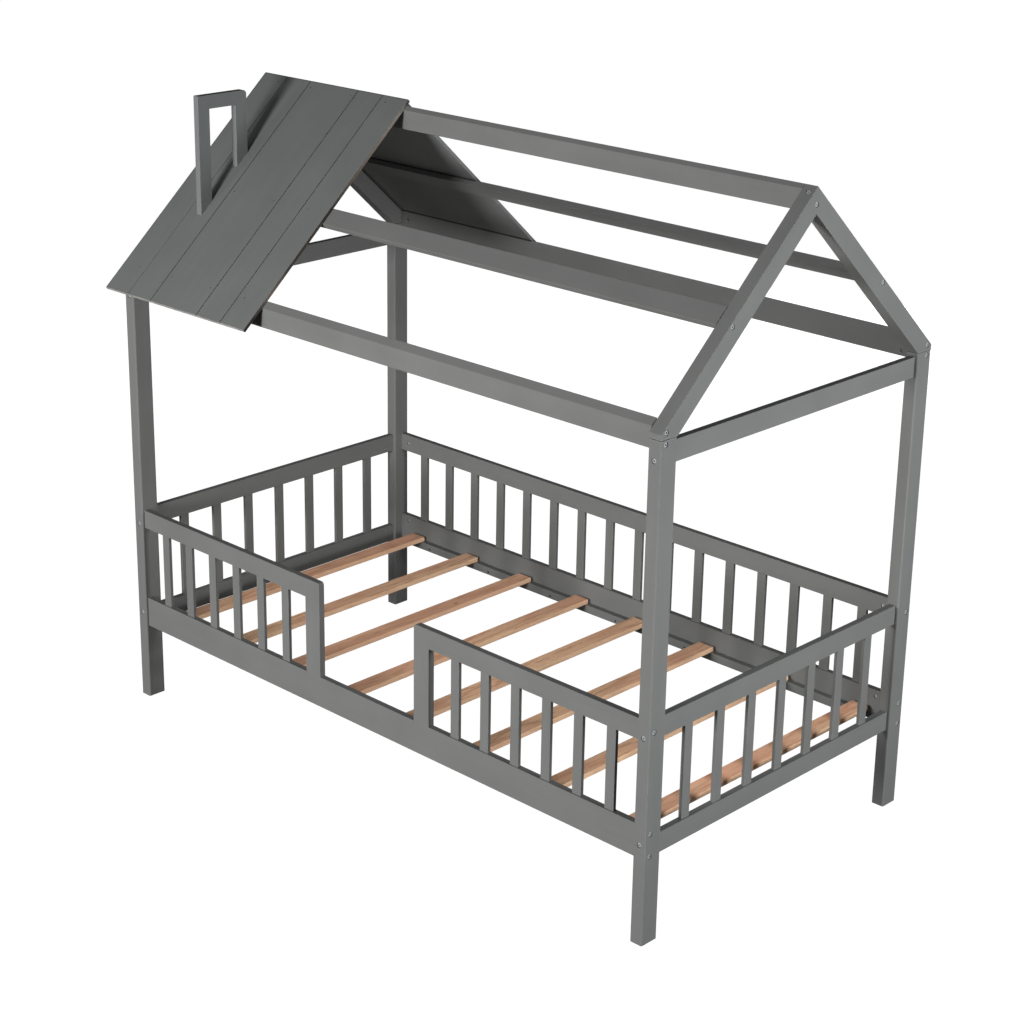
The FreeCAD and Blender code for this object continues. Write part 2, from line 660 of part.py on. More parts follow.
def make_barrel_nut():
    """A barrel nut with a driver slot and a cross bore along its own X, and the bore for it."""
    radius = "dims.nut_diameter / 2"
    top = "-(dims.board - dims.nut_length) / 2"
    bottom = f"{top} - dims.nut_length"
    nut = turned("barrel_nut", [("0", top), (radius, top), (radius, bottom), ("0", bottom)])
    slot = rectangle("dims.nut_diameter", "-dims.nut_slot / 2", "dims.nut_slot / 2")
    sink(nut, slot, top, "dims.nut_slot")
    across = doc.addObject("Part::Cylinder", "barrel_nut_thread")
    across.setExpression("Radius", "dims.bolt_shank / 2 + dims.thread_play")
    across.setExpression("Height", "2 * dims.nut_diameter")
    move(across, "-dims.nut_diameter", z="-dims.board / 2", turn=FACING["+x"])
    bored = doc.addObject("Part::Cut", "barrel_nut_bored")
    bored.Base = nut
    bored.Tool = across
    wide = f"{radius} + dims.nut_play"
    deep = f"{bottom} - dims.nut_play"
    bore = turned("barrel_nut_bore", [("0", "0"), (wide, "0"), (wide, deep), ("0", deep)])
    return bored, bore


def make_dowel():
    """A dowel with chamfered ends whose origin is where two pieces meet, and the bore for it."""
    radius = "dims.dowel_diameter / 2"
    low = "-dims.dowel_depth"
    high = "(dims.dowel_length - dims.dowel_depth)"
    slim = f"{radius} - dims.dowel_chamfer"
    dowel = turned("dowel", [
        ("0", low), (slim, low), (radius, f"{low} + dims.dowel_chamfer"),
        (radius, f"{high} - dims.dowel_chamfer"), (slim, high), ("0", high)])
    wide = f"{radius} + dims.dowel_play"
    low_bore = f"{low} - 4 * dims.dowel_play"
    high_bore = f"{high} + 4 * dims.dowel_play"
    bore = turned("dowel_bore", [("0", low_bore), (wide, low_bore), (wide, high_bore),
                                 ("0", high_bore)])
    return dowel, bore


def make_screw(name, length):
    """A countersunk wood screw with a cross recess and a pointed tip, and the bore for it."""
    solids = []
    for suffix, play in (("", "0"), ("_bore", "dims.screw_play")):
        head = f"(dims.screw_head / 2 + {play})"
        shank = f"(dims.screw_shank / 2 + {play})"
        neck = f"-({head} - {shank})"
        tip = f"-({length}) - 2 * {play}"
        solids.append(turned(name + suffix, [
            ("0", "0"), (head, "0"), (shank, neck), (shank, f"{tip} + dims.screw_shank"),
            ("0", tip)]))
    arm, half = "dims.cross_arm", "dims.cross_half"
    cross = [(arm, f"-{half}"), (arm, half), (half, half), (half, arm), (f"-{half}", arm),
             (f"-{half}", half), (f"-{arm}", half), (f"-{arm}", f"-{half}"),
             (f"-{half}", f"-{half}"), (f"-{half}", f"-{arm}"), (half, f"-{arm}"),
             (half, f"-{half}")]
    sink(solids[0], cross, "0", "dims.cross_depth")
    return solids


def put(master, x, y, z, facing, spin=0, angle=None):
    """A copy of a master at a place; facing is a key of FACING or a turn of its own."""
    copy = doc.addObject("App::Link", f"{master.Name}_copy")
    copy.LinkedObject = master
    copy.LinkTransform = False
    turn = FACING[facing] if isinstance(facing, str) else facing
    move(copy, x, y, z, turn=turn.multiply(Rotation(Vector(0, 0, 1), spin)), angle=angle)
    return copy


def fasten(node, pair, pieces, *spot, **turn):
    """Put a fastener in a node and its bore in every piece that it passes through."""
    solid, bore = pair
    fasteners[node].append(put(solid, *spot, **turn))
    hole = put(bore, *spot, **turn)
    for piece in pieces:
        cutters[piece].append(hole)


def join_side_boards(bolt, nut, dowel):
    """Bolts along X through the posts into the ends of the side boards."""
    inner_x = "places.inner_x"
    cy = "places.side_board_cy"
    upper = "dims.upper_rail_z + dims.upper_rail_depth / 2"
    for end in ENDS:
        face = "+x" if end == "foot" else "-x"
        nut_x = on_x(end, f"{inner_x} - dims.nut_setback")
        for side in SIDES:
            post = f"post_{side}_{end}"
            inward = "+y" if side == "front" else "-y"
            upper_rail = f"guard_rail_{end}" if side == "front" else "upper_rail_back"
            joints = [
                (post, f"lower_rail_{side}", "dims.lower_rail_z + dims.side_bolt_low"),
                (post, f"lower_rail_{side}", "places.side_rail_top - dims.side_bolt_high"),
                (post, upper_rail, upper),
                (post, f"eave_beam_{side}", "places.eave_z + dims.eave_bolt"),
                (f"rafter_{side}_{end}", f"eave_beam_{side}", "dims.post_height + dims.heel_bolt"),
            ]
            for outer, board, height in joints:
                fasten("frame_bolts", bolt, [outer, board], on_x(end, "places.end_x"),
                       on_y(side, cy), height, face)
                fasten("barrel_nuts", nut, [board], nut_x, on_y(side, "places.side_board_inner"),
                       height, inward)
            fasten("dowels", dowel, [post, upper_rail], on_x(end, inner_x), on_y(side, cy),
                   f"{upper} + dims.side_dowel", "-x" if end == "foot" else "+x")


def join_end_boards(bolt, nut, dowel):
    """Bolts along Y through the posts into the ends of the end boards."""
    heights = {
        "lower_rail": ("places.end_rail_top - dims.end_bolt_low", "-"),
        "upper_rail": ("dims.upper_rail_z + dims.end_bolt_high", "+"),
        "tie_beam": ("places.tie_z + dims.tie_bolt", "+"),
    }
    for end in ENDS:
        for side in SIDES:
            face = "-y" if side == "front" else "+y"
            for kind, (height, way) in heights.items():
                board = f"{kind}_{end}"
                pieces = [f"post_{side}_{end}", board]
                cx = on_x(end, "places.end_board_cx")
                fasten("frame_bolts", bolt, pieces, cx, on_y(side, "places.side_y"), height, face)
                fasten("barrel_nuts", nut, [board], on_x(end, "places.end_board_inner"),
                       on_y(side, "places.inner_y - dims.nut_setback"), height,
                       "-x" if end == "foot" else "+x", spin=90)
                fasten("dowels", dowel, pieces, cx, on_y(side, "places.inner_y"),
                       f"{height} {way} dims.end_dowel", "+y" if side == "front" else "-y")


def join_roof_frame(bolt, screw, nut, dowel):
    """Bolts along X through the rafters into the purlins and the ridge beam, and the apexes."""
    for end in ENDS:
        face = "+x" if end == "foot" else "-x"
        back_face = "-x" if end == "foot" else "+x"
        both = [f"rafter_front_{end}", f"rafter_back_{end}"]
        outer_x = on_x(end, "places.end_x")
        inner_x = on_x(end, "places.inner_x")
        nut_x = on_x(end, "places.inner_x - dims.nut_setback")
        ridge_z = "dims.ridge_height - dims.ridge_bolt"
        fasten("frame_bolts", bolt, both + ["ridge_beam"], outer_x, "0", ridge_z, face)
        fasten("barrel_nuts", nut, ["ridge_beam"], nut_x, "dims.board / 2", ridge_z, "+y")
        fasten("dowels", dowel, both + ["ridge_beam"], inner_x, "0",
               f"{ridge_z} + dims.ridge_dowel", back_face)
        run = "dims.apex_screw_inset"
        fasten("apex_screws", screw, both, on_x(end, "places.end_x - dims.apex_screw_setback"),
               f"-{run} * cos(places.rafter_angle)",
               f"dims.ridge_height - {run} * sin(places.rafter_angle)",
               Rotation(Vector(1, 0, 0), value(places, "rafter_angle")),
               angle="places.rafter_angle")
        for side in SIDES:
            rafter, purlin = f"rafter_{side}_{end}", f"purlin_{side}"
            for reach, node, pair, x, way in (
                    ("dims.purlin_bolt", "frame_bolts", bolt, outer_x, face),
                    ("dims.purlin_dowel", "dowels", dowel, inner_x, back_face)):
                y, z = slope_spot(side, f"dims.purlin_reach + {reach}", "-dims.purlin_bolt_depth")
                fasten(node, pair, [rafter, purlin], x, y, z, way)
            y, z = slope_spot(side, "dims.purlin_reach + dims.purlin_bolt",
                              "dims.board / 2 - dims.purlin_bolt_depth")
            turn, angle = slope_turn(side)
            fasten("barrel_nuts", nut, [purlin], nut_x, y, z, turn, angle=angle)
            fasten("dowels", dowel, [f"post_{side}_{end}", rafter],
                   on_x(end, "places.post_cx"), on_y(side, "places.side_y - dims.heel_dowel"),
                   "dims.post_height", "+z")


def join_guards(dowel):
    """Dowels between each guard upright, its rail and the lower rail."""
    cy = on_y("front", "places.side_board_cy")
    for end in ENDS:
        upright, rail = f"guard_upright_{end}", f"guard_rail_{end}"
        for step in ("- dims.guard_dowel", "+ dims.guard_dowel"):
            fasten("dowels", dowel, [upright, rail], on_x(end, "places.guard_start"), cy,
                   f"dims.upper_rail_z + dims.upper_rail_depth / 2 {step}",
                   "+x" if end == "foot" else "-x")
            fasten("dowels", dowel, [upright, "lower_rail_front"],
                   on_x(end, f"places.upright_cx {step}"), cy, "places.side_rail_top", "+z")


def slope_turn(side):
    """The turn, and the expression for its angle, that stands a fastener square to a slope."""
    turn = Rotation(Vector(-SIDES[side], 0, 0), value(places, "roof_angle"))
    return turn, "places.roof_angle"


def slope_spot(side, distance, rise):
    """Expressions for y and z at a distance up a roof slope, and a rise out of its plane."""
    y = (f"places.eave_edge_y - ({distance}) * cos(places.roof_angle)"
         f" + ({rise}) * sin(places.roof_angle)")
    z = (f"places.eave_edge_z + ({distance}) * sin(places.roof_angle)"
         f" + ({rise}) * cos(places.roof_angle)")
    return on_y(side, y), z


def join_roof(screw, chimney_screw):
    """Screws down through the panels, and up through the front panel into the chimney."""
    columns = [f"{sign} * ({place})" for sign in (-1, 1)
               for place in ("dims.panel_width / 2 - dims.screw_edge", "dims.screw_inner")]
    for side in SIDES:
        panel = f"roof_panel_{side}"
        turn, angle = slope_turn(side)
        rows = {
            f"eave_beam_{side}": "dims.eave_row",
            f"purlin_{side}": "places.purlin_mid",
            "ridge_beam": "places.roof_length - dims.ridge_row",
        }
        for beam, distance in rows.items():
            y, z = slope_spot(side, distance, "dims.panel_board")
            for column in columns:
                fasten("roof_screws", screw, [panel, beam],
                       f"places.mid_x + places.panel_cx + {column}", y, z, turn, angle=angle)
    legs = ("dims.chimney_to_ridge + dims.chimney_leg / 2",
            "dims.chimney_to_ridge + dims.chimney_width - dims.chimney_leg / 2")
    turn = Rotation(Vector(-1, 0, 0), 180 - value(places, "roof_angle"))
    for leg in legs:
        run = f"places.roof_length - ({leg}) / cos(places.roof_angle)"
        y, z = slope_spot("front", run, "0")
        fasten("chimney_screws", chimney_screw, ["roof_panel_front", "chimney"],
               "places.mid_x + places.chimney_cx", y, z, turn, angle="180 deg - places.roof_angle")


def join_ledgers(screw):
    """A row of screws through each ledger into its rail, spread from the middle."""
    reach = "inner_x - dims.ledger_end_gap - dims.ledger_screw_end"
    count = int(value(places, f"({reach}) / dims.ledger_screw_pitch"))
    for side in SIDES:
        inward = "+y" if side == "front" else "-y"
        face = on_y(side, "places.side_board_inner - dims.ledger_board")
        for step in range(-count, count + 1):
            fasten("ledger_screws", screw, [f"ledger_{side}", f"lower_rail_{side}"],
                   f"places.mid_x + {step} * dims.ledger_screw_pitch", face,
                   "dims.lower_rail_z + dims.ledger_screw_z", inward)


def make_fasteners():
    """Every fastener, with its bore handed to the pieces that it passes through."""
    past = "dims.nut_setback + places.bolt_past_nut"
    bolt_x = make_bolt("bolt_x", f"(dims.post_x + {past})")
    bolt_y = make_bolt("bolt_y", f"(dims.post_y + {past})")
    apex = make_bolt("apex_screw", "(places.bolt_seat + dims.apex_screw)")
    nut = make_barrel_nut()
    dowel = make_dowel()
    join_side_boards(bolt_x, nut, dowel)
    join_end_boards(bolt_y, nut, dowel)
    join_roof_frame(bolt_x, apex, nut, dowel)
    join_guards(dowel)
    join_roof(make_screw("roof_screw", "dims.roof_screw"),
              make_screw("chimney_screw", "dims.chimney_screw"))
    join_ledgers(make_screw("ledger_screw", "dims.ledger_screw"))


# ---------------------------------------------------------------------------------------------
# The whole bed
# ---------------------------------------------------------------------------------------------

def make_blanks():
    """Every wooden piece before it is drilled."""
    for end in ENDS:
        for side in SIDES:
            make_post(end, side)
            make_rafter(end, side)
        make_guard(end)
        make_end_boards(end)
    make_side_rails()
    for side in SIDES:
        make_ledger(side)
        make_eave_beam(side)
        make_purlin(side)
        make_roof_panel(side)
    make_slats()
    make_ridge_beam()
    make_chimney()


def drill(label, blank):
    """The piece itself: its blank less every bore and socket that opens in it."""
    if not cutters[label]:
        return blank
    tool = doc.addObject("Part::MultiFuse", f"{label}_bores")
    tool.Shapes = cutters[label]
    piece = doc.addObject("Part::Cut", label)
    piece.Base = blank
    piece.Tool = tool
    return piece


def check_and_write(pieces):
    """Stop if any object failed or any piece is not one sound shape, then write every piece."""
    for item in doc.Objects:
        if "Invalid" in item.State or "Error" in item.State:
            raise RuntimeError(f"{item.Name}: {item.State}")
    for label, piece in pieces.items():
        if piece.Shape.isNull() or not piece.Shape.isValid() or not piece.Shape.Solids:
            raise RuntimeError(f"{label} is not a sound shape")
    os.makedirs("parts", exist_ok=True)
    for label, piece in pieces.items():
        piece.Label = label
        piece.Shape.exportStep(f"parts/{label}.step")
        print(f"{label:24s} {len(piece.Shape.Solids):3d} solids")


make_blanks()
pieces = make_spindles()
make_fasteners()
for name, blank in blanks.items():
    pieces[name] = drill(name, blank)
for name, members in fasteners.items():
    pieces[name] = doc.addObject("Part::Compound", name)
    pieces[name].Links = members
doc.recompute()
check_and_write(pieces)
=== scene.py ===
"""Looks of a house frame bed, built round its packed construction.

The bed is a painted softwood frame with a slatted base of bare pine, railings of flat spindles, a
pitched roof frame and a short boarded roof with a chimney at the head end.  Everything is in
metres, in the frame of the construction: X along the bed to the foot, the entry gap facing -Y.
"""
from __future__ import annotations

import logging
import math
from dataclasses import dataclass, field
from enum import Enum
from typing import Iterable, Mapping, Sequence, Union

import bpy
import numpy as np
from mathutils import Matrix, Vector

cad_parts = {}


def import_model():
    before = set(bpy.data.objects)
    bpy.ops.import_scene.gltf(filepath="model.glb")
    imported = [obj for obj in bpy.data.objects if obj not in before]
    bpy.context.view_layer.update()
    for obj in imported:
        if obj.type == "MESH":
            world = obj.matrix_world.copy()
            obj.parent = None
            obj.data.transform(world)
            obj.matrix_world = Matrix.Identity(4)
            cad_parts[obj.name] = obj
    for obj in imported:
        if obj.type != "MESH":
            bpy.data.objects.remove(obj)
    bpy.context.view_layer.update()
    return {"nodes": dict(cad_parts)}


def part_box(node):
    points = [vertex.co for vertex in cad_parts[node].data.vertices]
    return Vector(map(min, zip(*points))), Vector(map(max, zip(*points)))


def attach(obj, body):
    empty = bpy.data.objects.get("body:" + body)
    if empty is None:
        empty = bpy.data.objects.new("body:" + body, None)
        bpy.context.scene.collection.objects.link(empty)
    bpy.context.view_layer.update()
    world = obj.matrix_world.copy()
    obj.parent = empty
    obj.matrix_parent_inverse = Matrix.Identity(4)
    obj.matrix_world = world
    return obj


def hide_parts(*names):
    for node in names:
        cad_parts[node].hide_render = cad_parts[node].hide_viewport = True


logger = logging.getLogger("house_bed")

MM = 0.001
BODY = "root"
IMAGE_SIDE = 1024

Socket = bpy.types.NodeSocket
Material = bpy.types.Material
Number = Union[float, "Expr"]
Span = tuple[float, float]
Triple = tuple[float, float, float]

WHITE: Triple = (1.0, 1.0, 1.0)
BLACK: Triple = (0.0, 0.0, 0.0)
EVEN: Triple = (1.0, 1.0, 1.0)


# --- Node trees ---

class Expr:
    """A number socket that takes part in Python arithmetic, which is added to its tree."""

    def __init__(self, graph: "Graph", socket: Socket) -> None:
        """Keep the tree and the output socket that carries the number."""
        self.graph = graph
        self.socket = socket

    def __add__(self, other: Number) -> "Expr":
        """self + other."""
        return self.graph.math("ADD", self, other)

    def __radd__(self, other: Number) -> "Expr":
        """other + self."""
        return self.graph.math("ADD", other, self)

    def __sub__(self, other: Number) -> "Expr":
        """self - other."""
        return self.graph.math("SUBTRACT", self, other)

    def __rsub__(self, other: Number) -> "Expr":
        """other - self."""
        return self.graph.math("SUBTRACT", other, self)

    def __mul__(self, other: Number) -> "Expr":
        """self * other."""
        return self.graph.math("MULTIPLY", self, other)

    def __rmul__(self, other: Number) -> "Expr":
        """other * self."""
        return self.graph.math("MULTIPLY", other, self)

    def __truediv__(self, other: Number) -> "Expr":
        """self / other."""
        return self.graph.math("DIVIDE", self, other)

    def __neg__(self) -> "Expr":
        """-self."""
        return self.graph.math("MULTIPLY", self, -1.0)

    def __abs__(self) -> "Expr":
        """The size of self without its sign."""
        return self.graph.math("ABSOLUTE", self)

    def __pow__(self, other: Number) -> "Expr":
        """self ** other."""
        return self.graph.math("POWER", self, other)


class Graph:
    """Builds a node tree, for a material or for geometry."""

    def __init__(self, tree: bpy.types.NodeTree) -> None:
        """Empty a tree and keep it, to be filled."""
        self.tree = tree
        tree.nodes.clear()

    def node(self, kind: str, settings: Mapping[str, object] | None = None,
             inputs: Mapping[Union[str, int], object] | None = None) -> bpy.types.Node:
        """Add one node.

        Args:
            kind: the node's type.
            settings: its properties, set first; "stops" are the (place, colour) pairs of a ramp.
            inputs: a value, socket or Expr for each input socket, by name or index.

        Returns:
            The new node.
        """
        made = self.tree.nodes.new(kind)
        for key, content in (settings or {}).items():
            if key == "stops":
                self._set_stops(made.color_ramp, content)
            else:
                setattr(made, key, content)
        for key, content in (inputs or {}).items():
            self.feed(made.inputs[key], content)
        return made

    @staticmethod
    def _set_stops(ramp: bpy.types.ColorRamp, stops: Sequence[tuple[float, Triple]]) -> None:
        """Give a ramp its stops.

        Args:
            ramp: the ramp of a new node.
            stops: the place and the colour of each stop, in order.
        """
        while len(ramp.elements) < len(stops):
            ramp.elements.new(1.0)
        for element, (place, colour) in zip(ramp.elements, stops):
            element.position = place
            element.color = (*colour, 1.0)

    def feed(self, socket: Socket, content: object) -> None:
        """Link an input socket or set its value.

        Args:
            socket: the input socket.
            content: an output socket or Expr to link, or a value to set.
        """
        if isinstance(content, Expr):
            content = content.socket
        if isinstance(content, Socket):
            self.tree.links.new(content, socket)
        else:
            socket.default_value = content

    def number(self, kind: str, settings: Mapping[str, object] | None = None,
               inputs: Mapping[Union[str, int], object] | None = None,
               output: Union[str, int] = 0) -> Expr:
        """Add one node and return one of its number outputs."""
        return Expr(self, self.node(kind, settings, inputs).outputs[output])

    def math(self, operation: str, *terms: Number) -> Expr:
        """Add a Math node for an operation on one, two or three terms."""
        return self.number("ShaderNodeMath", {"operation": operation}, dict(enumerate(terms)))

    def vector(self, operation: str, *terms: object) -> Socket:
        """Add a Vector Math node and return its vector output."""
        made = self.node("ShaderNodeVectorMath", {"operation": operation}, dict(enumerate(terms)))
        return made.outputs[0]

    def combine(self, x: Number, y: Number, z: Number) -> Socket:
        """A vector from three numbers."""
        return self.node("ShaderNodeCombineXYZ", None, {0: x, 1: y, 2: z}).outputs[0]

    def split(self, vector: Socket) -> tuple[Expr, Expr, Expr]:
        """The three numbers of a vector."""
        made = self.node("ShaderNodeSeparateXYZ", None, {0: vector})
        return tuple(Expr(self, socket) for socket in made.outputs)

    def smooth(self, content: Number, low: float, high: float) -> Expr:
        """0 up to low, 1 from high on, and a smooth step between them."""
        return self.number("ShaderNodeMapRange", {"interpolation_type": "SMOOTHSTEP"},
                           {"Value": content, "From Min": low, "From Max": high})

    def fade(self, content: Number, low: float, high: float) -> Expr:
        """1 up to low, 0 from high on, and a smooth step between them."""
        return 1.0 - self.smooth(content, low, high)


# --- Finishes ---

ROOF_RISE, ROOF_REACH = 0.478, 0.528
ROOF_ANGLE = math.atan2(ROOF_RISE, ROOF_REACH)


class Grain(Enum):
    """Which way the fibres of a wooden piece run, as a turn about X and the fibres' own axis."""

    ALONG_BED = (0.0, 0)
    ACROSS_BED = (0.0, 1)
    UPRIGHT = (0.0, 2)
    FRONT_SLOPE = (-ROOF_ANGLE, 1)
    BACK_SLOPE = (ROOF_ANGLE, 1)


SLOPES = {"front": Grain.FRONT_SLOPE, "back": Grain.BACK_SLOPE}


class Paper(Graph):
    """The node tree of one material, with the calls that the finishes share."""

    def __init__(self, name: str) -> None:
        """Make the material with an empty tree.

        Args:
            name: the material's name.
        """
        self.material = bpy.data.materials.new(name)
        self.material.use_nodes = True
        super().__init__(self.material.node_tree)
        self.coords = self.node("ShaderNodeTexCoord").outputs["Object"]

    def turned(self, turn: float) -> Socket:
        """Object coordinates after a turn about X."""
        return self.node("ShaderNodeMapping", None,
                         {"Vector": self.coords, "Rotation": (turn, 0.0, 0.0)}).outputs[0]

    def stretched(self, vector: Socket, stretch: Triple) -> Socket:
        """A vector with each axis scaled."""
        return self.vector("MULTIPLY", vector, stretch)

    def own_vector(self, name: str) -> Socket:
        """A vector attribute of the mesh."""
        return self.node("ShaderNodeAttribute", {"attribute_name": name}).outputs["Vector"]

    def own_number(self, name: str) -> Expr:
        """A number attribute of the mesh, 0 where the mesh has none."""
        return self.number("ShaderNodeAttribute", {"attribute_name": name}, output="Fac")

    def mix(self, factor: Number, first: object, second: object) -> Socket:
        """A colour between two colours.

        Args:
            factor: how much of the second colour there is, from 0 to 1.
            first: a colour or a colour socket.
            second: a colour or a colour socket.

        Returns:
            The colour socket.
        """
        made = self.node("ShaderNodeMix", {"data_type": "RGBA"},
                         {0: factor, 6: _rgba(first), 7: _rgba(second)})
        return made.outputs[2]

    def bump(self, height: Number, strength: float, distance: float) -> Socket:
        """A normal that follows a height in units of distance."""
        return self.node("ShaderNodeBump", None, {
            "Height": height, "Strength": strength, "Distance": distance}).outputs[0]

    def surface(self, sockets: Mapping[str, object]) -> Material:
        """Finish the tree with one surface shader.

        Args:
            sockets: a value, socket or Expr for each input of the shader that isn't plain.

        Returns:
            The finished material.
        """
        shader = self.node("ShaderNodeBsdfPrincipled", None, sockets)
        self.node("ShaderNodeOutputMaterial", None, {"Surface": shader.outputs[0]})
        return self.material


def _rgba(colour: object) -> object:
    """A colour with its alpha, or a socket unchanged."""
    return (*colour, 1.0) if isinstance(colour, tuple) and len(colour) == 3 else colour


def spread(share: Expr, ends: Span) -> Expr:
    """The number that lies a share of the way between two ends."""
    return share * (ends[1] - ends[0]) + ends[0]


@dataclass(frozen=True)
class Marks:
    """A pattern of smooth random marks.

    scale is their number in a metre, detail and roughness are the number and the strength of the
    finer layers, and a stretch below 1 makes the marks longer along that axis.
    """

    scale: float
    detail: float = 2.0
    roughness: float = 0.5
    stretch: Triple = EVEN

    def on(self, paper: Paper, coords: Socket) -> Expr:
        """Add the pattern to a tree.

        Args:
            paper: the tree to add to.
            coords: the coordinates that the marks follow.

        Returns:
            A number that is 0.5 on average.
        """
        if self.stretch != EVEN:
            coords = paper.stretched(coords, self.stretch)
        return paper.number("ShaderNodeTexNoise", None, {
            "Vector": coords, "Scale": self.scale, "Detail": self.detail,
            "Roughness": self.roughness})


@dataclass
class Coat:
    """A coat of paint while its tree is made; clouds and height are numbers over the surface."""

    paper: Paper
    colour: Socket
    clouds: Expr
    height: Expr

    def lay(self, share: Expr, colour: object) -> None:
        """Cover a share of the coat with another colour."""
        self.colour = self.paper.mix(share, self.colour, colour)


@dataclass(frozen=True)
class GreyPaint:
    """Satin grey paint, sprayed on softwood whose fibres show through faintly.

    Level top faces are darker: painted shade, where little light falls on them from above.  A
    weight says how much a pattern changes the tone.  The gap is the narrow one between a member of
    the roof frame and the panel that lies on it, and it gets a painted shadow.
    """

    light: Triple = (0.196, 0.200, 0.197)
    dark: Triple = (0.158, 0.162, 0.159)
    roughness: float = 0.46
    roughness_change: float = 0.16
    specular: float = 0.42
    along_fibres: float = 0.05
    clouds: Marks = Marks(7.0, 3.0)
    cloud_weight: float = 0.9
    fibres: Marks = Marks(260.0, 4.0, 0.6)
    fibre_weight: float = 0.35
    bands: Marks = Marks(32.5)
    band_weight: float = 0.5
    stipple: Marks = Marks(1500.0, 1.0)
    tone_weight: float = 0.10
    shaded_top_faces: Span = (0.82, 0.95)
    top_shade_weight: float = 0.22
    fibre_height: float = 0.7
    stipple_height: float = 0.3
    relief: float = 0.22
    relief_depth: float = 0.12 * MM
    gap_depths: Span = (-5.5 * MM, -2.5 * MM)
    gap_end: float = 1 * MM
    gap_shadow_weight: float = 0.95
    gap_shadow_colour: Triple = (0.02, 0.02, 0.02)
    name: str = "grey_paint"

    def coat(self, name: str, grain: Grain) -> Coat:
        """Start a material with the plain coat.

        Args:
            name: the material's name.
            grain: which way the wood below runs.

        Returns:
            The coat, to be shaded once its marks are laid.
        """
        paper = Paper(name)
        turn, axis = grain.value
        stretch = list(EVEN)
        stretch[axis] = self.along_fibres
        along = paper.stretched(paper.turned(turn), tuple(stretch))
        clouds = self.clouds.on(paper, paper.coords) - 0.5
        fibres = self.fibres.on(paper, along)
        bands = self.bands.on(paper, along) - 0.5
        stipple = self.stipple.on(paper, paper.coords)
        level = (clouds * self.cloud_weight + (fibres - 0.5) * self.fibre_weight
                 + bands * self.band_weight + 0.5)
        tone = paper.own_number("tone")
        colour = paper.mix(level + tone * self.tone_weight, self.dark, self.light)
        coat = Coat(paper, colour, clouds,
                    fibres * self.fibre_height + stipple * self.stipple_height)
        facing = paper.node("ShaderNodeNewGeometry").outputs["True Normal"]
        # Painted shade: level top faces are darkened, as little light falls on them from above.
        coat.lay(paper.smooth(paper.split(facing)[2], *self.shaded_top_faces) * self.top_shade_weight, BLACK)
        return coat

    def shade(self, coat: Coat) -> Material:
        """Finish a painted material.

        Args:
            coat: the coat, with everything laid on it.

        Returns:
            The material.
        """
        return coat.paper.surface({
            "Base Color": coat.colour,
            "Roughness": self.roughness + coat.clouds * self.roughness_change,
            "Specular IOR Level": self.specular,
            "Normal": coat.paper.bump(coat.height, self.relief, self.relief_depth),
        })

    def build(self, grain: Grain) -> Material:
        """The material for pieces whose wood runs one way."""
        return self.shade(self.coat(f"{self.name}_{grain.name.lower()}", grain))

    def lay_gap_shadow(self, coat: Coat, slope: Grain, roof: "BoardedRoof") -> None:
        """Paint a shadow into the gap between a member of the roof frame and the panel on it.

        Args:
            coat: the member's coat.
            slope: the slope that the member is under.
            roof: the boarded roof, for its sizes.
        """
        paper, end = coat.paper, roof.panel_ends[1]
        rise = paper.split(paper.turned(slope.value[0]))[2] - roof.plane_height()
        covered = paper.fade(paper.split(paper.coords)[0], end, end + self.gap_end)
        # Painted shadow: a dark band just below the panel's underside, along the part that the
        # panel covers.
        coat.lay(paper.smooth(rise, *self.gap_depths) * covered * self.gap_shadow_weight,
                 self.gap_shadow_colour)

    def build_member(self, slope: Grain, roof: "BoardedRoof") -> Material:
        """The material for a beam that runs along the bed under one slope.

        Args:
            slope: the slope that the beam is under.
            roof: the boarded roof, which covers a part of the beam.

        Returns:
            The material.
        """
        coat = self.coat(f"{self.name}_under_{slope.name.lower()}", Grain.ALONG_BED)
        self.lay_gap_shadow(coat, slope, roof)
        return self.shade(coat)


@dataclass(frozen=True)
class JointedPaint(GreyPaint):
    """The same paint on posts and rafters, whose butt joint shows as a dark line.

    The edges on both sides of the joint are eased, and a pale rim follows the line: a painted
    highlight where those edges catch the light.  A reach is how far from the joint a mark begins
    to fade and is gone, and a pair of weights is for the places where the paint is whole and where
    it is broken.
    """

    joint_height: float = 1.3
    joint_reach: Span = (0.66 * MM, 1.54 * MM)
    joint_weights: Span = (0.6, 1.0)
    joint_colour: Triple = (0.045, 0.045, 0.044)
    rim_highlight_reach: Span = (2.25 * MM, 4.5 * MM)
    rim_highlight_weights: Span = (0.25, 0.55)
    rim_highlight_colour: Triple = (0.25, 0.252, 0.249)
    breaks: Marks = Marks(90.0)
    break_from: Span = (0.25, 0.6)

    def build_jointed(self, grain: Grain, roof: "BoardedRoof") -> Material:
        """The material for posts, or for the rafters of one slope.

        Args:
            grain: which way the wood runs.
            roof: the boarded roof, which covers the upper sides of some rafters.

        Returns:
            The material.
        """
        coat = self.coat(f"jointed_paint_{grain.name.lower()}", grain)
        paper = coat.paper
        if grain is not Grain.UPRIGHT:
            self.lay_gap_shadow(coat, grain, roof)
        away = abs(paper.split(paper.coords)[2] - self.joint_height)
        broken = paper.smooth(self.breaks.on(paper, paper.coords), *self.break_from)
        rim, joint = paper.fade(away, *self.rim_highlight_reach), paper.fade(away, *self.joint_reach)
        # Painted highlight: a pale rim beside the joint where the eased edges catch the light.
        coat.lay(rim * spread(broken, self.rim_highlight_weights), self.rim_highlight_colour)
        coat.lay(joint * spread(broken, self.joint_weights), self.joint_colour)
        coat.height = coat.height - joint
        return self.shade(coat)


@dataclass(frozen=True)
class OnPanel:
    """Where a point of a panel is, with the slope turned flat, and how worn its paint is there."""

    roof: "BoardedRoof"
    along: Expr
    rise: Expr
    climb: Expr
    worn: Expr


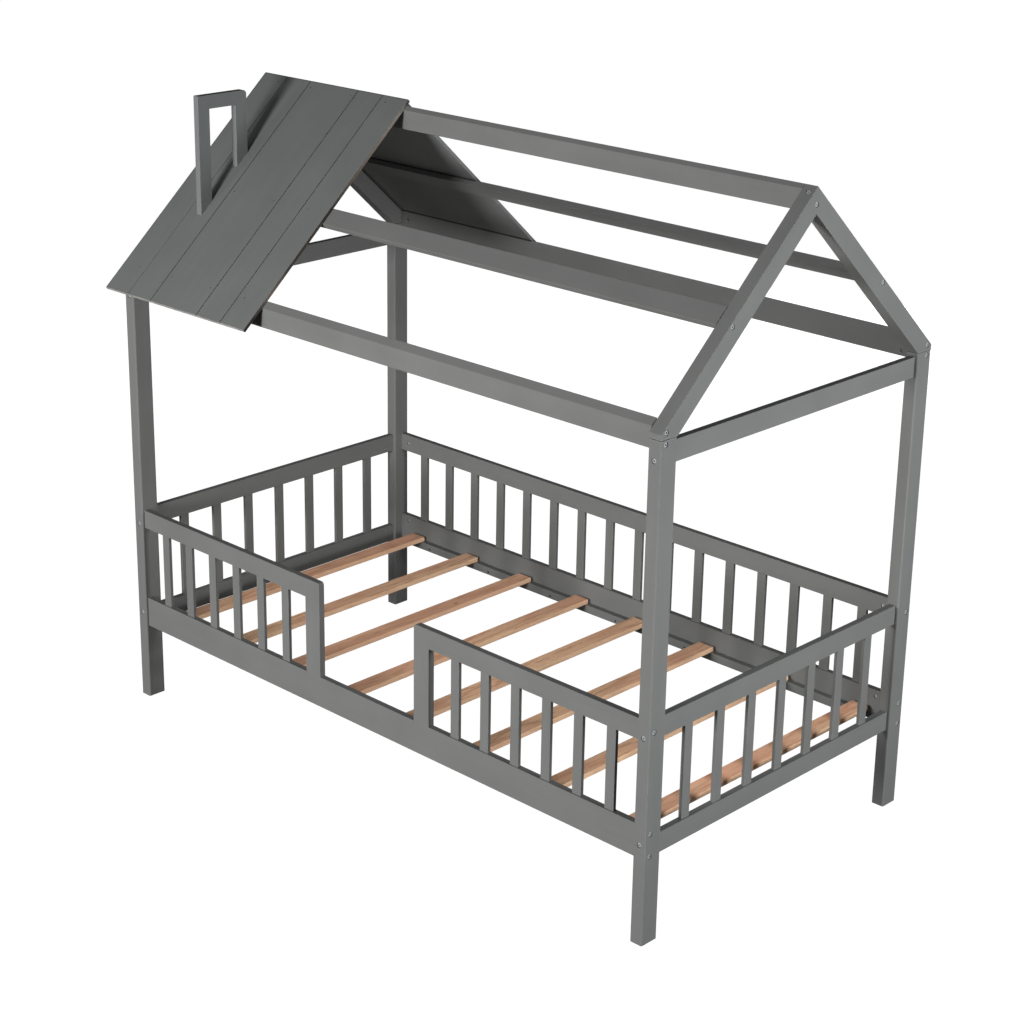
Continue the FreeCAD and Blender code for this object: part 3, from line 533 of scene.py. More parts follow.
@dataclass(frozen=True)
class PanelPaint(GreyPaint):
    """The same paint on a roof panel, with painted shade in its grooves and bare on its foot-side
    edge.

    The cut edge's tones run from the eave to the ridge, as shares of the slope.  A reach is how
    far from its edge a mark begins to fade and is gone, and a pair of weights is for sound and
    for worn paint.  The grooves are bare low at the head end.
    """

    light: Triple = (0.188, 0.196, 0.194)
    dark: Triple = (0.151, 0.158, 0.156)
    groove_shade: Triple = (0.024, 0.024, 0.023)
    groove_depths: Span = (-0.9 * MM, -0.25 * MM)
    groove_floor: Span = (0.45, 0.5)
    groove_stop: Span = (2 * MM, 3 * MM)
    bare: Triple = (0.15, 0.125, 0.098)
    bare_width: Span = (0.16, 0.17)
    bare_climb: Span = (0.40, 0.52)
    bare_weights: Span = (0.5, 1.0)
    bare_loss: float = 0.6
    wear: Marks = Marks(30.0)
    worn_from: Span = (0.35, 0.6)
    eave: Triple = (0.47, 0.455, 0.435)
    eave_reach: Span = (0.3 * MM, 1.2 * MM)
    eave_weights: Span = (0.6, 0.9)
    edge_dark: Triple = (0.05, 0.051, 0.05)
    edge_dark_reach: Span = (1.5 * MM, 4 * MM)
    head_weight: float = 0.75
    ridge_weight: float = 0.6
    cut_tones: tuple[tuple[float, Triple], ...] = (
        (0.00, (0.045, 0.038, 0.034)), (0.07, (0.05, 0.04, 0.035)), (0.11, (0.23, 0.18, 0.15)),
        (0.19, (0.21, 0.165, 0.14)), (0.25, (0.06, 0.048, 0.042)), (0.55, (0.075, 0.058, 0.048)),
        (0.68, (0.16, 0.125, 0.105)), (0.84, (0.28, 0.235, 0.2)), (0.955, (0.33, 0.29, 0.25)),
        (0.975, (0.14, 0.142, 0.14)))
    cut_patches: Marks = Marks(60.0, 3.0, stretch=(1.0, 0.4, 0.4))
    cut_shift: float = 0.1
    cut_weights: Span = (0.75, 1.05)
    cut_reach: Span = (0.2 * MM, 0.5 * MM)
    painted_edge: Triple = (0.27, 0.275, 0.272)

    def build_panel(self, grain: Grain, roof: "BoardedRoof") -> Material:
        """The material for the panel of one slope.

        Args:
            grain: the slope that the panel lies on.
            roof: the roof that the panel belongs to, for its sizes.

        Returns:
            The material.
        """
        coat = self.coat(f"panel_paint_{grain.name.lower()}", grain)
        paper = coat.paper
        _, across, lift = paper.split(paper.turned(grain.value[0]))
        uphill = 1.0 if grain is Grain.FRONT_SLOPE else -1.0
        place = OnPanel(
            roof=roof,
            along=paper.split(paper.coords)[0],
            rise=lift - roof.plane_height(),
            climb=across * uphill - roof.eave_climb(),
            worn=paper.smooth(self.wear.on(paper, paper.coords), *self.worn_from))
        self.lay_grooves(coat, place)
        self.lay_edges(coat, place)
        self.lay_cut(coat, place, painted=grain is Grain.BACK_SLOPE)
        return self.shade(coat)

    def lay_grooves(self, coat: Coat, place: OnPanel) -> None:
        """Paint shade into the grooves, which stop short of the panel's ends, or bare them.

        Args:
            coat: the panel's coat.
            place: where its points are.
        """
        paper, board = coat.paper, place.roof.panel_board
        (low, high), (near, far) = place.roof.panel_ends, self.groove_stop
        in_groove = paper.fade(place.rise - board, *self.groove_depths) * paper.smooth(
            place.rise, *(board * share for share in self.groove_floor))
        inside = (paper.smooth(place.along, low + near, low + far)
                  * paper.fade(place.along, high - far, high - near))
        bare = (paper.fade(place.along, *(low + width for width in self.bare_width))
                * paper.fade(place.climb, *self.bare_climb))
        line = paper.mix(bare * spread(place.worn, self.bare_weights), self.groove_shade, self.bare)
        # Painted shade in the grooves, where little light reaches; low at the head end they are
        # bare wood instead.
        coat.lay(in_groove * inside * (1.0 - bare * place.worn * self.bare_loss), line)

    def lay_edges(self, coat: Coat, place: OnPanel) -> None:
        """Make the eave edge paler, and the paint darker along the head end and the ridge.

        Args:
            coat: the panel's coat.
            place: where its points are.
        """
        paper, low, ridge = coat.paper, place.roof.panel_ends[0], place.roof.slope_length
        near, far = self.edge_dark_reach
        at_eave = paper.fade(place.climb, *self.eave_reach)
        at_head = paper.fade(place.along, low + near, low + far)
        at_ridge = paper.smooth(place.climb, ridge - far, ridge - near)
        # The eave edge is made paler; the head end and the ridge are made darker.
        coat.lay(at_eave * spread(place.worn, self.eave_weights), self.eave)
        coat.lay(at_head * self.head_weight, self.edge_dark)
        coat.lay(at_ridge * self.ridge_weight, self.edge_dark)

    def lay_cut(self, coat: Coat, place: OnPanel, painted: bool) -> None:
        """Colour the cut edge at the foot side.

        Args:
            coat: the panel's coat.
            place: where its points are.
            painted: whether the edge has kept its paint.
        """
        paper, high = coat.paper, place.roof.panel_ends[1]
        near, far = self.cut_reach
        patches = self.cut_patches.on(paper, paper.coords)
        share = place.climb / place.roof.slope_length + (patches - 0.5) * self.cut_shift
        cut = self.painted_edge if painted else paper.node(
            "ShaderNodeValToRGB", {"stops": self.cut_tones}, {0: share}).outputs[0]
        at_cut = paper.smooth(place.along, high - far, high - near)
        coat.lay(at_cut * spread(patches, self.cut_weights), cut)


@dataclass(frozen=True)
class ChimneyPaint(GreyPaint):
    """The paint of the chimney, a little lighter and cooler than the rest."""

    light: Triple = (0.212, 0.221, 0.224)
    dark: Triple = (0.178, 0.186, 0.188)
    name: str = "chimney_paint"


@dataclass(frozen=True)
class BarePine:
    """Planed pine without a finish, with long rings, fine fibres and now and then a knot."""

    early: Triple = (0.94, 0.60, 0.385)
    late: Triple = (0.56, 0.265, 0.145)
    pink: Triple = (0.88, 0.46, 0.302)
    knot: Triple = (0.075, 0.038, 0.02)
    side: Triple = (1.0, 0.70, 0.46)
    half_width: float = 27 * MM
    side_reach: Span = (0.4 * MM, 1.5 * MM)
    side_weight: float = 0.45
    rings: Marks = Marks(14.0, 3.0, stretch=(1.0, 0.11, 1.0))
    ring_pitch: float = 60.0
    ring_sharpness: float = 2.6
    ring_weight: float = 0.62
    fibres: Marks = Marks(700.0, 4.0, 0.65, (1.0, 0.02, 1.0))
    fibre_weight: float = 0.7
    streaks: Marks = Marks(230.0, 3.0, 0.6, (1.0, 0.045, 1.0))
    streak_weight: float = 1.7
    flecks: Marks = Marks(320.0, stretch=(1.0, 0.13, 1.0))
    fleck_from: Span = (0.50, 0.68)
    fleck_weight: float = 0.45
    tone_weight: float = 0.10
    lightening: float = 0.06
    clouds: Marks = Marks(9.0, stretch=(1.0, 0.25, 1.0))
    pink_shift: float = 0.12
    pink_from: Span = (0.36, 0.66)
    pink_weight: float = 0.7
    knot_stretch: Triple = (1.0, 0.45, 0.4)
    knot_scale: float = 7.0
    knot_fray: float = 0.03
    knot_reach: Span = (0.015, 0.05)
    knot_weight: float = 0.7
    specks: Marks = Marks(420.0, 1.0, stretch=(1.0, 0.09, 1.0))
    speck_from: Span = (0.70, 0.78)
    speck_weight: float = 0.35
    roughness: float = 0.62
    roughness_change: float = 0.2
    specular: float = 0.3
    fibre_height: float = 0.8
    ring_height: float = 0.2
    relief: float = 0.4
    relief_depth: float = 0.15 * MM

    def build(self) -> Material:
        """Make the material, which reads the slats' own "board", "seed" and "tone" attributes.

        Returns:
            The material.
        """
        paper = Paper("bare_pine")
        own, tone = paper.own_vector("board"), paper.own_number("tone")
        board = paper.vector("ADD", own, paper.own_vector("seed"))
        ring = paper.math("SINE", self.rings.on(paper, board) * self.ring_pitch) * 0.5 + 0.5
        fibres = self.fibres.on(paper, board)
        flecks = paper.smooth(self.flecks.on(paper, board), *self.fleck_from)
        late = (ring ** self.ring_sharpness * self.ring_weight + (fibres - 0.5) * self.fibre_weight
                + (self.streaks.on(paper, board) - 0.5) * self.streak_weight
                + flecks * self.fleck_weight + tone * self.tone_weight - self.lightening)
        pink = paper.smooth(self.clouds.on(paper, board) + tone * self.pink_shift, *self.pink_from)
        colour = paper.mix(late, self.early, self.late)
        colour = paper.mix(pink * self.pink_weight, colour, self.pink)
        colour = self.with_knots(paper, colour, board, fibres)
        near, far = self.side_reach
        beside = paper.smooth(abs(paper.split(own)[0]), self.half_width - far,
                              self.half_width - near)
        return paper.surface({
            "Base Color": paper.mix(beside * self.side_weight, colour, self.side),
            "Roughness": self.roughness + (fibres - 0.5) * self.roughness_change,
            "Specular IOR Level": self.specular,
            "Normal": paper.bump(fibres * self.fibre_height + ring * self.ring_height,
                                 self.relief, self.relief_depth),
        })

    def with_knots(self, paper: Paper, colour: Socket, board: Socket, fibres: Expr) -> Socket:
        """Add a knot here and there, with frayed edges, and fine dark specks.

        Args:
            paper: the tree to add to.
            colour: the wood's colour.
            board: the board's own coordinates.
            fibres: the fibres, which fray the knots.

        Returns:
            The colour with its knots and specks.
        """
        cells = paper.number("ShaderNodeTexVoronoi", None, {
            "Vector": paper.stretched(board, self.knot_stretch), "Scale": self.knot_scale,
            "Randomness": 1.0}, "Distance")
        knots = paper.fade(cells + (fibres - 0.5) * self.knot_fray, *self.knot_reach)
        colour = paper.mix(knots * self.knot_weight, colour, self.knot)
        specks = paper.smooth(self.specks.on(paper, board), *self.speck_from)
        return paper.mix(specks * self.speck_weight, colour, self.knot)


@dataclass(frozen=True)
class Beech:
    """Turned beech, pale with short dark flecks."""

    light: Triple = (0.60, 0.43, 0.27)
    dark: Triple = (0.42, 0.27, 0.15)
    flecks: Marks = Marks(900.0, 3.0, 0.6)
    fleck_from: Span = (0.4, 0.7)
    roughness: float = 0.6
    roughness_change: float = 0.2
    relief: float = 0.3
    relief_depth: float = 0.1 * MM

    def build(self) -> Material:
        """Make the material.

        Returns:
            The material.
        """
        paper = Paper("beech")
        flecks = self.flecks.on(paper, paper.coords)
        colour = paper.mix(paper.smooth(flecks, *self.fleck_from), self.light, self.dark)
        return paper.surface({
            "Base Color": colour,
            "Roughness": self.roughness + (flecks - 0.5) * self.roughness_change,
            "Normal": paper.bump(flecks, self.relief, self.relief_depth),
        })


@dataclass(frozen=True)
class Steel:
    """Steel of one plating, with fine scratches and faint stains."""

    name: str
    light: Triple
    dark: Triple
    metallic: float
    roughness: float
    # Grime and painted shade where a head is sunk: socket, slot, cross and lower rim.
    recess: Triple = (0.012, 0.012, 0.012)
    scratches: Marks = Marks(2600.0, 3.0, 0.6, (1.0, 0.2, 1.0))
    scratch_roughness: float = 0.2
    stains: Marks = Marks(240.0)
    stain_from: Span = (0.3, 0.7)
    stain_roughness: float = 0.15
    recess_roughness: float = 0.3
    relief: float = 0.2
    relief_depth: float = 0.05 * MM

    def build(self) -> Material:
        """Make the material; the mesh's "recess" attribute says where a head is sunk, and there it
        is dull and darker with grime and painted shade.

        Returns:
            The material.
        """
        paper = Paper(self.name)
        sunk = paper.own_number("recess")
        scratch = self.scratches.on(paper, paper.coords)
        stain = self.stains.on(paper, paper.coords)
        colour = paper.mix(paper.smooth(stain, *self.stain_from), self.dark, self.light)
        return paper.surface({
            "Base Color": paper.mix(sunk, colour, self.recess),
            "Metallic": self.metallic * (1.0 - sunk),
            "Roughness": (self.roughness + (scratch - 0.5) * self.scratch_roughness
                          + (stain - 0.5) * self.stain_roughness + sunk * self.recess_roughness),
            "Normal": paper.bump(scratch, self.relief, self.relief_depth),
        })


ZINC = Steel("zinc_steel", (0.66, 0.685, 0.685), (0.50, 0.525, 0.53), 0.35, 0.47,
             (0.21, 0.215, 0.215))
DARK = Steel("dark_steel", (0.05, 0.05, 0.049), (0.028, 0.028, 0.027), 0.35, 0.5)
# Painted-over heads: paler than the panel as a painted highlight on the rim, dark in the middle as
# painted shade.
PAINTED = Steel("painted_steel", (0.30, 0.31, 0.305), (0.24, 0.25, 0.245), 0.0, 0.5,
                (0.01, 0.01, 0.01))


class Finishes:
    """Every material of the bed, each made once."""

    def __init__(self, roof: "BoardedRoof") -> None:
        """Build them all.

        Args:
            roof: the boarded roof, whose sizes some paints follow.
        """
        self.paint = {grain: GreyPaint().build(grain)
                      for grain in (Grain.ALONG_BED, Grain.ACROSS_BED, Grain.UPRIGHT)}
        self.chimney = ChimneyPaint().build(Grain.UPRIGHT)
        self.jointed = {grain: JointedPaint().build_jointed(grain, roof)
                        for grain in (Grain.UPRIGHT, *SLOPES.values())}
        self.members = {side: GreyPaint().build_member(slope, roof)
                        for side, slope in SLOPES.items()}
        self.panels = {side: PanelPaint().build_panel(slope, roof)
                       for side, slope in SLOPES.items()}
        self.pine = BarePine().build()
        self.beech = Beech().build()
        self.steel = {steel: steel.build() for steel in (ZINC, DARK, PAINTED)}


# --- Geometry trees ---

class Kind(Enum):
    """What an attribute or a random draw holds."""

    NUMBER = "FLOAT"
    VECTOR = "FLOAT_VECTOR"


# Points of a turned solid that are closer than this become one.
WELD = 0.001 * MM
# Keep the random tones and the random stretches of wood apart.
TONE_SALT, SEED_SALT = 7, 11
# The stretches of wood start anywhere in a cube with sides of this many metres.
SEED_RANGE = 9.0


class Shape(Graph):
    """A Geometry Nodes tree that sets one shape on every point of its input."""

    def __init__(self, name: str, *labels: str) -> None:
        """Make the tree with its inputs and its output.

        Args:
            name: the tree's name.
            labels: the names of the sizes that the modifier sets.
        """
        super().__init__(bpy.data.node_groups.new(name, "GeometryNodeTree"))
        self.tree.interface.new_socket("Geometry", in_out="OUTPUT",
                                       socket_type="NodeSocketGeometry")
        for label, kind in (("Points", "Geometry"), *((label, "Float") for label in labels),
                            ("Seed", "Int"), ("Finish", "Material")):
            self.tree.interface.new_socket(label, in_out="INPUT", socket_type=f"NodeSocket{kind}")
        self.source = self.node("NodeGroupInput")
        self.sizes = [Expr(self, self.source.outputs[label]) for label in labels]

    def identifier(self, label: str) -> str:
        """The identifier of one of the tree's inputs."""
        return next(item.identifier for item in self.tree.interface.items_tree
                    if item.name == label and item.in_out == "INPUT")

    def at(self, geometry: Socket, x: Number = 0.0, y: Number = 0.0,
           z: Number = 0.0) -> Socket:
        """A geometry moved by x, y and z."""
        return self.node("GeometryNodeTransform", None, {
            "Geometry": geometry, "Translation": self.combine(x, y, z)}).outputs[0]

    def join(self, parts: Iterable[Socket]) -> Socket:
        """Put several geometries together.

        Args:
            parts: the geometries.

        Returns:
            All of them as one.
        """
        made = self.node("GeometryNodeJoinGeometry")
        for part in parts:
            self.tree.links.new(part, made.inputs[0])
        return made.outputs[0]

    def block(self, x: Number, y: Number, z: Number) -> Socket:
        """A plain box about the origin, used as a cutter."""
        return self.node("GeometryNodeMeshCube", None,
                         {"Size": self.combine(x, y, z)}).outputs["Mesh"]

    def prism(self, sides: int, radius: Number, depth: Number) -> Socket:
        """An upright prism about the origin."""
        return self.node("GeometryNodeMeshCylinder", None, {
            "Vertices": sides, "Radius": radius, "Depth": depth}).outputs["Mesh"]

    def lathe(self, profile: Sequence[tuple[Number, Number]], sides: int) -> Socket:
        """A closed solid turned about Z.

        Args:
            profile: (radius, height) pairs from the bottom to the top.
            sides: how many sides the turned surface has.

        Returns:
            The mesh, welded and closed with a flat face at each end.
        """
        parts = []
        for (low_radius, low), (high_radius, high) in zip(profile, profile[1:]):
            ring = self.node("GeometryNodeMeshCone", {"fill_type": "NONE"}, {
                "Vertices": sides, "Radius Top": high_radius, "Radius Bottom": low_radius,
                "Depth": high - low}).outputs["Mesh"]
            parts.append(self.at(ring, z=low))
        for flip, (radius, height) in ((True, profile[0]), (False, profile[-1])):
            disc = self.node("GeometryNodeMeshCircle", {"fill_type": "NGON"},
                             {"Vertices": sides, "Radius": radius}).outputs["Mesh"]
            if flip:
                disc = self.node("GeometryNodeFlipFaces", None, {"Mesh": disc}).outputs[0]
            parts.append(self.at(disc, z=height))
        return self.node("GeometryNodeMergeByDistance", None, {
            "Geometry": self.join(parts), "Distance": WELD}).outputs[0]

    def cut(self, solid: Socket, tools: Iterable[Socket]) -> Socket:
        """Take cutters away from a solid.

        Args:
            solid: a closed mesh.
            tools: the cutters, also closed.

        Returns:
            What is left of the solid.
        """
        for tool in tools:
            made = self.node("GeometryNodeMeshBoolean",
                             {"operation": "DIFFERENCE", "solver": "EXACT"})
            self.tree.links.new(solid, made.inputs[0])
            self.tree.links.new(tool, made.inputs[1])
            solid = made.outputs[0]
        return solid

    def random(self, low: object, high: object, kind: Kind = Kind.NUMBER,
               salt: int = 0) -> Socket:
        """Draw a random number or vector for each instance, from the tree's seed.

        Args:
            low: the least number or vector.
            high: the greatest.
            kind: which of the two it is.
            salt: keeps draws from one seed apart.

        Returns:
            The number or vector.
        """
        least, most, drawn = {Kind.NUMBER: (2, 3, 1), Kind.VECTOR: (0, 1, 0)}[kind]
        seed = Expr(self, self.source.outputs["Seed"]) + salt
        return self.node("FunctionNodeRandomValue", {"data_type": kind.value},
                         {least: low, most: high, "Seed": seed}).outputs[drawn]

    def store(self, geometry: Socket, name: str, content: object, kind: Kind = Kind.NUMBER,
              domain: str = "POINT") -> Socket:
        """A geometry that carries a named attribute."""
        return self.node("GeometryNodeStoreNamedAttribute",
                         {"data_type": kind.value, "domain": domain},
                         {"Geometry": geometry, "Name": name, "Value": content}).outputs[0]

    def sunk(self, head: Socket, depths: Span, middle: Span | None = None) -> Socket:
        """Mark how far each point lies below a head's face, as the attribute "recess", for grime
        and painted shade.

        Args:
            head: the head, with its face at height 0.
            depths: the depth up to which the mark is 0 and the one from which it is 1.
            middle: the radius up to which the mark is 1 at any depth and the one where that ends.

        Returns:
            The marked head.
        """
        x, y, z = self.split(self.node("GeometryNodeInputPosition").outputs[0])
        mark = self.smooth(-z, *depths)
        if middle:
            mark = self.math("MAXIMUM", mark, self.fade((x * x + y * y) ** 0.5, *middle))
        return self.store(head, "recess", mark)

    def finish(self, shape: Socket, spin: bool) -> None:
        """Set the shape on every point, turned to the point's "out", and close the tree.

        Args:
            shape: the geometry to repeat, whose own +Z points out.
            spin: whether each copy also gets a random turn about its own axis.
        """
        out = self.node("GeometryNodeInputNamedAttribute", {"data_type": Kind.VECTOR.value},
                        {"Name": "out"}).outputs["Attribute"]
        turn = self.node("FunctionNodeAlignRotationToVector", {"axis": "Z"},
                         {"Vector": out}).outputs[0]
        if spin:
            own = self.node("FunctionNodeAxisAngleToRotation", None, {
                "Axis": (0.0, 0.0, 1.0), "Angle": self.random(0.0, 2 * math.pi)}).outputs[0]
            turn = self.node("FunctionNodeRotateRotation", {"rotation_space": "LOCAL"},
                             {0: turn, 1: own}).outputs[0]
        placed = self.node("GeometryNodeInstanceOnPoints", None, {
            "Points": self.source.outputs["Points"], "Instance": shape,
            "Rotation": turn}).outputs[0]
        tone = self.random(-1.0, 1.0, salt=TONE_SALT)
        seed = self.random((0.0,) * 3, (SEED_RANGE,) * 3, Kind.VECTOR, SEED_SALT)
        placed = self.store(placed, "tone", tone, domain="INSTANCE")
        placed = self.store(placed, "seed", seed, Kind.VECTOR, "INSTANCE")
        real = self.node("GeometryNodeRealizeInstances", None, {0: placed}).outputs[0]
        real = self.node("GeometryNodeSetMaterial", None, {
            "Geometry": real, "Material": self.source.outputs["Finish"]}).outputs[0]
        self.node("NodeGroupOutput", None, {0: real})


def board_shape(name: str) -> Shape:
    """Make a tree for a bar with rounded edges: width in X, depth in Y and height in Z.

    A cube of evenly spaced points is pushed out so that its two outer rows lie on the rounding.

    Args:
        name: the tree's name.

    Returns:
        The tree.
    """
    shape = Shape(name, "Width", "Depth", "Height", "Ease")
    *sides, ease = shape.sizes
    rows = 8
    edge = (rows - 5) / (rows - 1)
    cube = shape.node("GeometryNodeMeshCube", None, {
        "Size": (2.0, 2.0, 2.0), "Vertices X": rows, "Vertices Y": rows,
        "Vertices Z": rows}).outputs["Mesh"]
    position = shape.node("GeometryNodeInputPosition").outputs[0]
    flat, beyond = [], []
    for at, side in zip(shape.split(position), sides):
        sign, size = shape.math("SIGN", at), abs(at)
        flat.append(sign * shape.math("MINIMUM", size / edge, 1.0) * (side / 2 - ease))
        beyond.append(sign * shape.math("MAXIMUM", (size - edge) / (1 - edge), 0.0))
    direction = shape.vector("NORMALIZE", shape.combine(*beyond))
    rounding = shape.node("ShaderNodeVectorMath", {"operation": "SCALE"},
                          {"Vector": direction, "Scale": ease}).outputs[0]
    place = shape.vector("ADD", shape.combine(*flat), rounding)
    bar = shape.node("GeometryNodeSetPosition", None,
                     {"Geometry": cube, "Position": place}).outputs[0]
    shape.finish(shape.store(bar, "board", position, Kind.VECTOR), spin=False)
    return shape


# How far each point of a bolt's dome lies inward and down, as shares of the dome's depth.
DOME = ((0.0, 1.0), (0.08, 0.62), (0.32, 0.28), (0.68, 0.08), (1.2, 0.0))


def bolt_shape() -> Shape:
    """Make a tree for a bolt with a domed head and a hexagon socket.

    Returns:
        The tree.
    """
    shape = Shape("socket_bolt", "Head", "Rise", "Bevel", "Dome", "Key", "Key Depth", "Shank",
                  "Reach")
    head, rise, bevel, dome, key, key_depth, shank, reach = shape.sizes
    solid = shape.lathe([
        (shank - bevel, -reach), (shank, bevel - reach), (shank, -rise),
        (head - bevel * 0.5, -rise), (head, bevel * 0.5 - rise),
        *((head - dome * inward, dome * -down) for inward, down in DOME)], sides=40)
    corner = key * (1 / math.sqrt(3))
    # The socket's mouth is a low cone, whose sizes are shares of the hexagon's corner radius.
    narrow, wide, tall, sink = 0.86, 1.14, 0.28, 0.2
    mouth = shape.node("GeometryNodeMeshCone", None, {
        "Vertices": 24, "Radius Top": corner * wide, "Radius Bottom": corner * narrow,
        "Depth": corner * tall}).outputs["Mesh"]
    solid = shape.cut(solid, [shape.prism(6, corner, key_depth * 2),
                              shape.at(mouth, z=corner * -sink)])
    shape.finish(shape.sunk(solid, depths=(0.5 * MM, 1.7 * MM)), spin=True)
    return shape


def nut_shape() -> Shape:
    """Make a tree for a barrel nut with chamfered ends, a driver slot and a cross bore.

    Returns:
        The tree.
    """
    shape = Shape("barrel_nut", "Radius", "Length", "Bevel", "Slot", "Bore")
    radius, length, bevel, slot, bore = shape.sizes
    solid = shape.lathe([(radius - bevel, -length), (radius, bevel - length), (radius, -bevel),
                         (radius - bevel, 0.0)], sides=32)
    across = shape.node("GeometryNodeTransform", None, {
        "Geometry": shape.prism(24, bore, radius * 3),
        "Rotation": (0.0, math.pi / 2, 0.0)}).outputs[0]
    solid = shape.cut(solid, [shape.block(radius * 3, slot, slot * 2),
                              shape.at(across, z=length * -0.5)])
    shape.finish(shape.sunk(solid, depths=(0.2 * MM, 1.1 * MM)), spin=False)
    return shape


def screw_shape() -> Shape:
    """Make a tree for a countersunk wood screw with a cross recess and a pointed tip.

    Returns:
        The tree.
    """
    shape = Shape("wood_screw", "Head", "Shank", "Reach", "Rim", "Arm", "Half", "Depth")
    head, shank, reach, rim, arm, half, depth = shape.sizes
    solid = shape.lathe([
        (shank * 0.06, -reach), (shank, shank * 2 - reach), (shank, shank - head), (head, -rim),
        (head - rim, 0.0)], sides=20)
    solid = shape.cut(solid, [shape.block(arm * 2, half * 2, depth * 2),
                              shape.block(half * 2, arm * 2, depth * 2)])
    # Grime and painted shade: the sunk parts and the whole middle of a head are marked dark.
    solid = shape.sunk(solid, depths=(0.2 * MM, 0.6 * MM), middle=(2.3 * MM, 3.22 * MM))
    shape.finish(solid, spin=True)
    return shape


# --- From construction nodes to pieces ---

@dataclass(frozen=True)
class Spot:
    """Where a repeated piece goes: its origin and the way that its own +Z points."""

    place: Vector
    out: Vector


# Loose triangles whose corners agree to this many decimals of a metre are joined there.
WELD_DIGITS = 6


def solids_of(node: bpy.types.Object) -> list[np.ndarray]:
    """The corners of each separate solid of a node.

    Args:
        node: a node of the construction, whose mesh is loose triangles.

    Returns:
        One array of points for each solid, in the order in which they come in the mesh.
    """
    mesh = node.data
    points = np.empty(len(mesh.vertices) * 3)
    mesh.vertices.foreach_get("co", points)
    mesh.calc_loop_triangles()
    corners = np.empty(len(mesh.loop_triangles) * 3, np.int64)
    mesh.loop_triangles.foreach_get("vertices", corners)
    rounded = np.round(points.reshape(-1, 3), WELD_DIGITS)
    unique, place = np.unique(rounded, axis=0, return_inverse=True)
    triangles = place.reshape(-1)[corners].reshape(-1, 3)
    label = np.arange(len(unique))
    while True:
        least = label[triangles].min(axis=1)
        fresh = label.copy()
        for column in range(3):
            np.minimum.at(fresh, triangles[:, column], least)
        fresh = fresh[fresh]
        if (fresh == label).all():
            break
        label = fresh
    used = np.unique(triangles)
    groups = [used[label[used] == root] for root in np.unique(label[used])]
    return [unique[group] for group in groups]


# Fasteners run along the bed, across it, upright or square to a slope.
LEAN, LIFT = math.sin(ROOF_ANGLE), math.cos(ROOF_ANGLE)
AXES = [(1, 0, 0), (0, 1, 0), (0, 0, 1), (0, -LEAN, LIFT), (0, LEAN, LIFT)]
# An axis has to make a solid slimmer by this much to be better than the one before.
CLEARLY = 0.01 * MM


def spot_of(points: np.ndarray, by_count: bool) -> Spot:
    """Find the axis of a turned solid and its outer end.

    Args:
        points: the solid's corners.
        by_count: True where the outer end is the one with more corners, as on a slotted barrel,
            and False where it is the wider one, as on a bolt or a screw.

    Returns:
        The middle of the outer end and the direction that it faces.
    """
    middle = (points.min(axis=0) + points.max(axis=0)) / 2
    offsets = points - middle
    best = None
    for axis in AXES:
        way = np.array(axis)
        along = offsets @ way
        across = offsets - np.outer(along, way)
        centre = (across.min(axis=0) + across.max(axis=0)) / 2
        radius = np.linalg.norm(across - centre, axis=1)
        if best is None or radius.max() < best[0] - CLEARLY:
            best = (radius.max(), way, along, radius, centre)
    _, way, along, radius, centre = best
    low, high = along.min(), along.max()
    third = (high - low) / 3
    upper, lower = along > high - third, along < low + third
    if by_count:
        outward = upper.sum() >= lower.sum()
    else:
        outward = radius[upper].max() >= radius[lower].max()
    end = high if outward else low
    return Spot(Vector(middle + centre + way * end), Vector(way if outward else -way))


def put(name: str, data: bpy.types.ID) -> bpy.types.Object:
    """Put a new object in the scene, at the origin.

    Args:
        name: the object's name.
        data: its mesh, lamp or camera.

    Returns:
        The object.
    """
    thing = bpy.data.objects.new(name, data)
    bpy.context.scene.collection.objects.link(thing)
    return thing


def grow(name: str, shape: Shape, spots: Sequence[Spot], sizes: Mapping[str, float],
         finish: Material, seed: int) -> bpy.types.Object:
    """Repeat a shape on spots and turn the result into a plain mesh.

    Args:
        name: the piece's name.
        shape: the tree that makes the shape.
        spots: where each copy goes.
        sizes: a value in metres for each of the tree's sizes.
        finish: the material.
        seed: for the copies' random turns and tones.

    Returns:
        The finished object, at the origin.
    """
    cloud = bpy.data.meshes.new(f"{name}_points")
    cloud.from_pydata([tuple(spot.place) for spot in spots], [], [])
    out = cloud.attributes.new("out", "FLOAT_VECTOR", "POINT")
    out.data.foreach_set("vector", [part for spot in spots for part in spot.out])
    carrier = put(f"{name}_carrier", cloud)
    modifier = carrier.modifiers.new("shape", "NODES")
    modifier.node_group = shape.tree
    for label, content in {**sizes, "Seed": seed, "Finish": finish}.items():
        modifier[shape.identifier(label)] = content
    bpy.context.view_layer.update()
    graph = bpy.context.evaluated_depsgraph_get()
    mesh = bpy.data.meshes.new_from_object(carrier.evaluated_get(graph), depsgraph=graph)
    mesh.name = name
    carrier.modifiers.remove(modifier)
    bpy.data.objects.remove(carrier)
    bpy.data.meshes.remove(cloud)
    logger.info("%s: %d copies, %d faces", name, len(spots), len(mesh.polygons))
    return put(name, mesh)


def settle(piece: bpy.types.Object, slot: str, *nodes: str) -> None:
    """Fix a piece to the bed in place of the nodes that it stands for.

    Args:
        piece: the finished piece.
        slot: the material slot that it takes its finish from; not used.
        nodes: the names of the nodes.
    """
    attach(piece, BODY)
    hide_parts(*nodes)


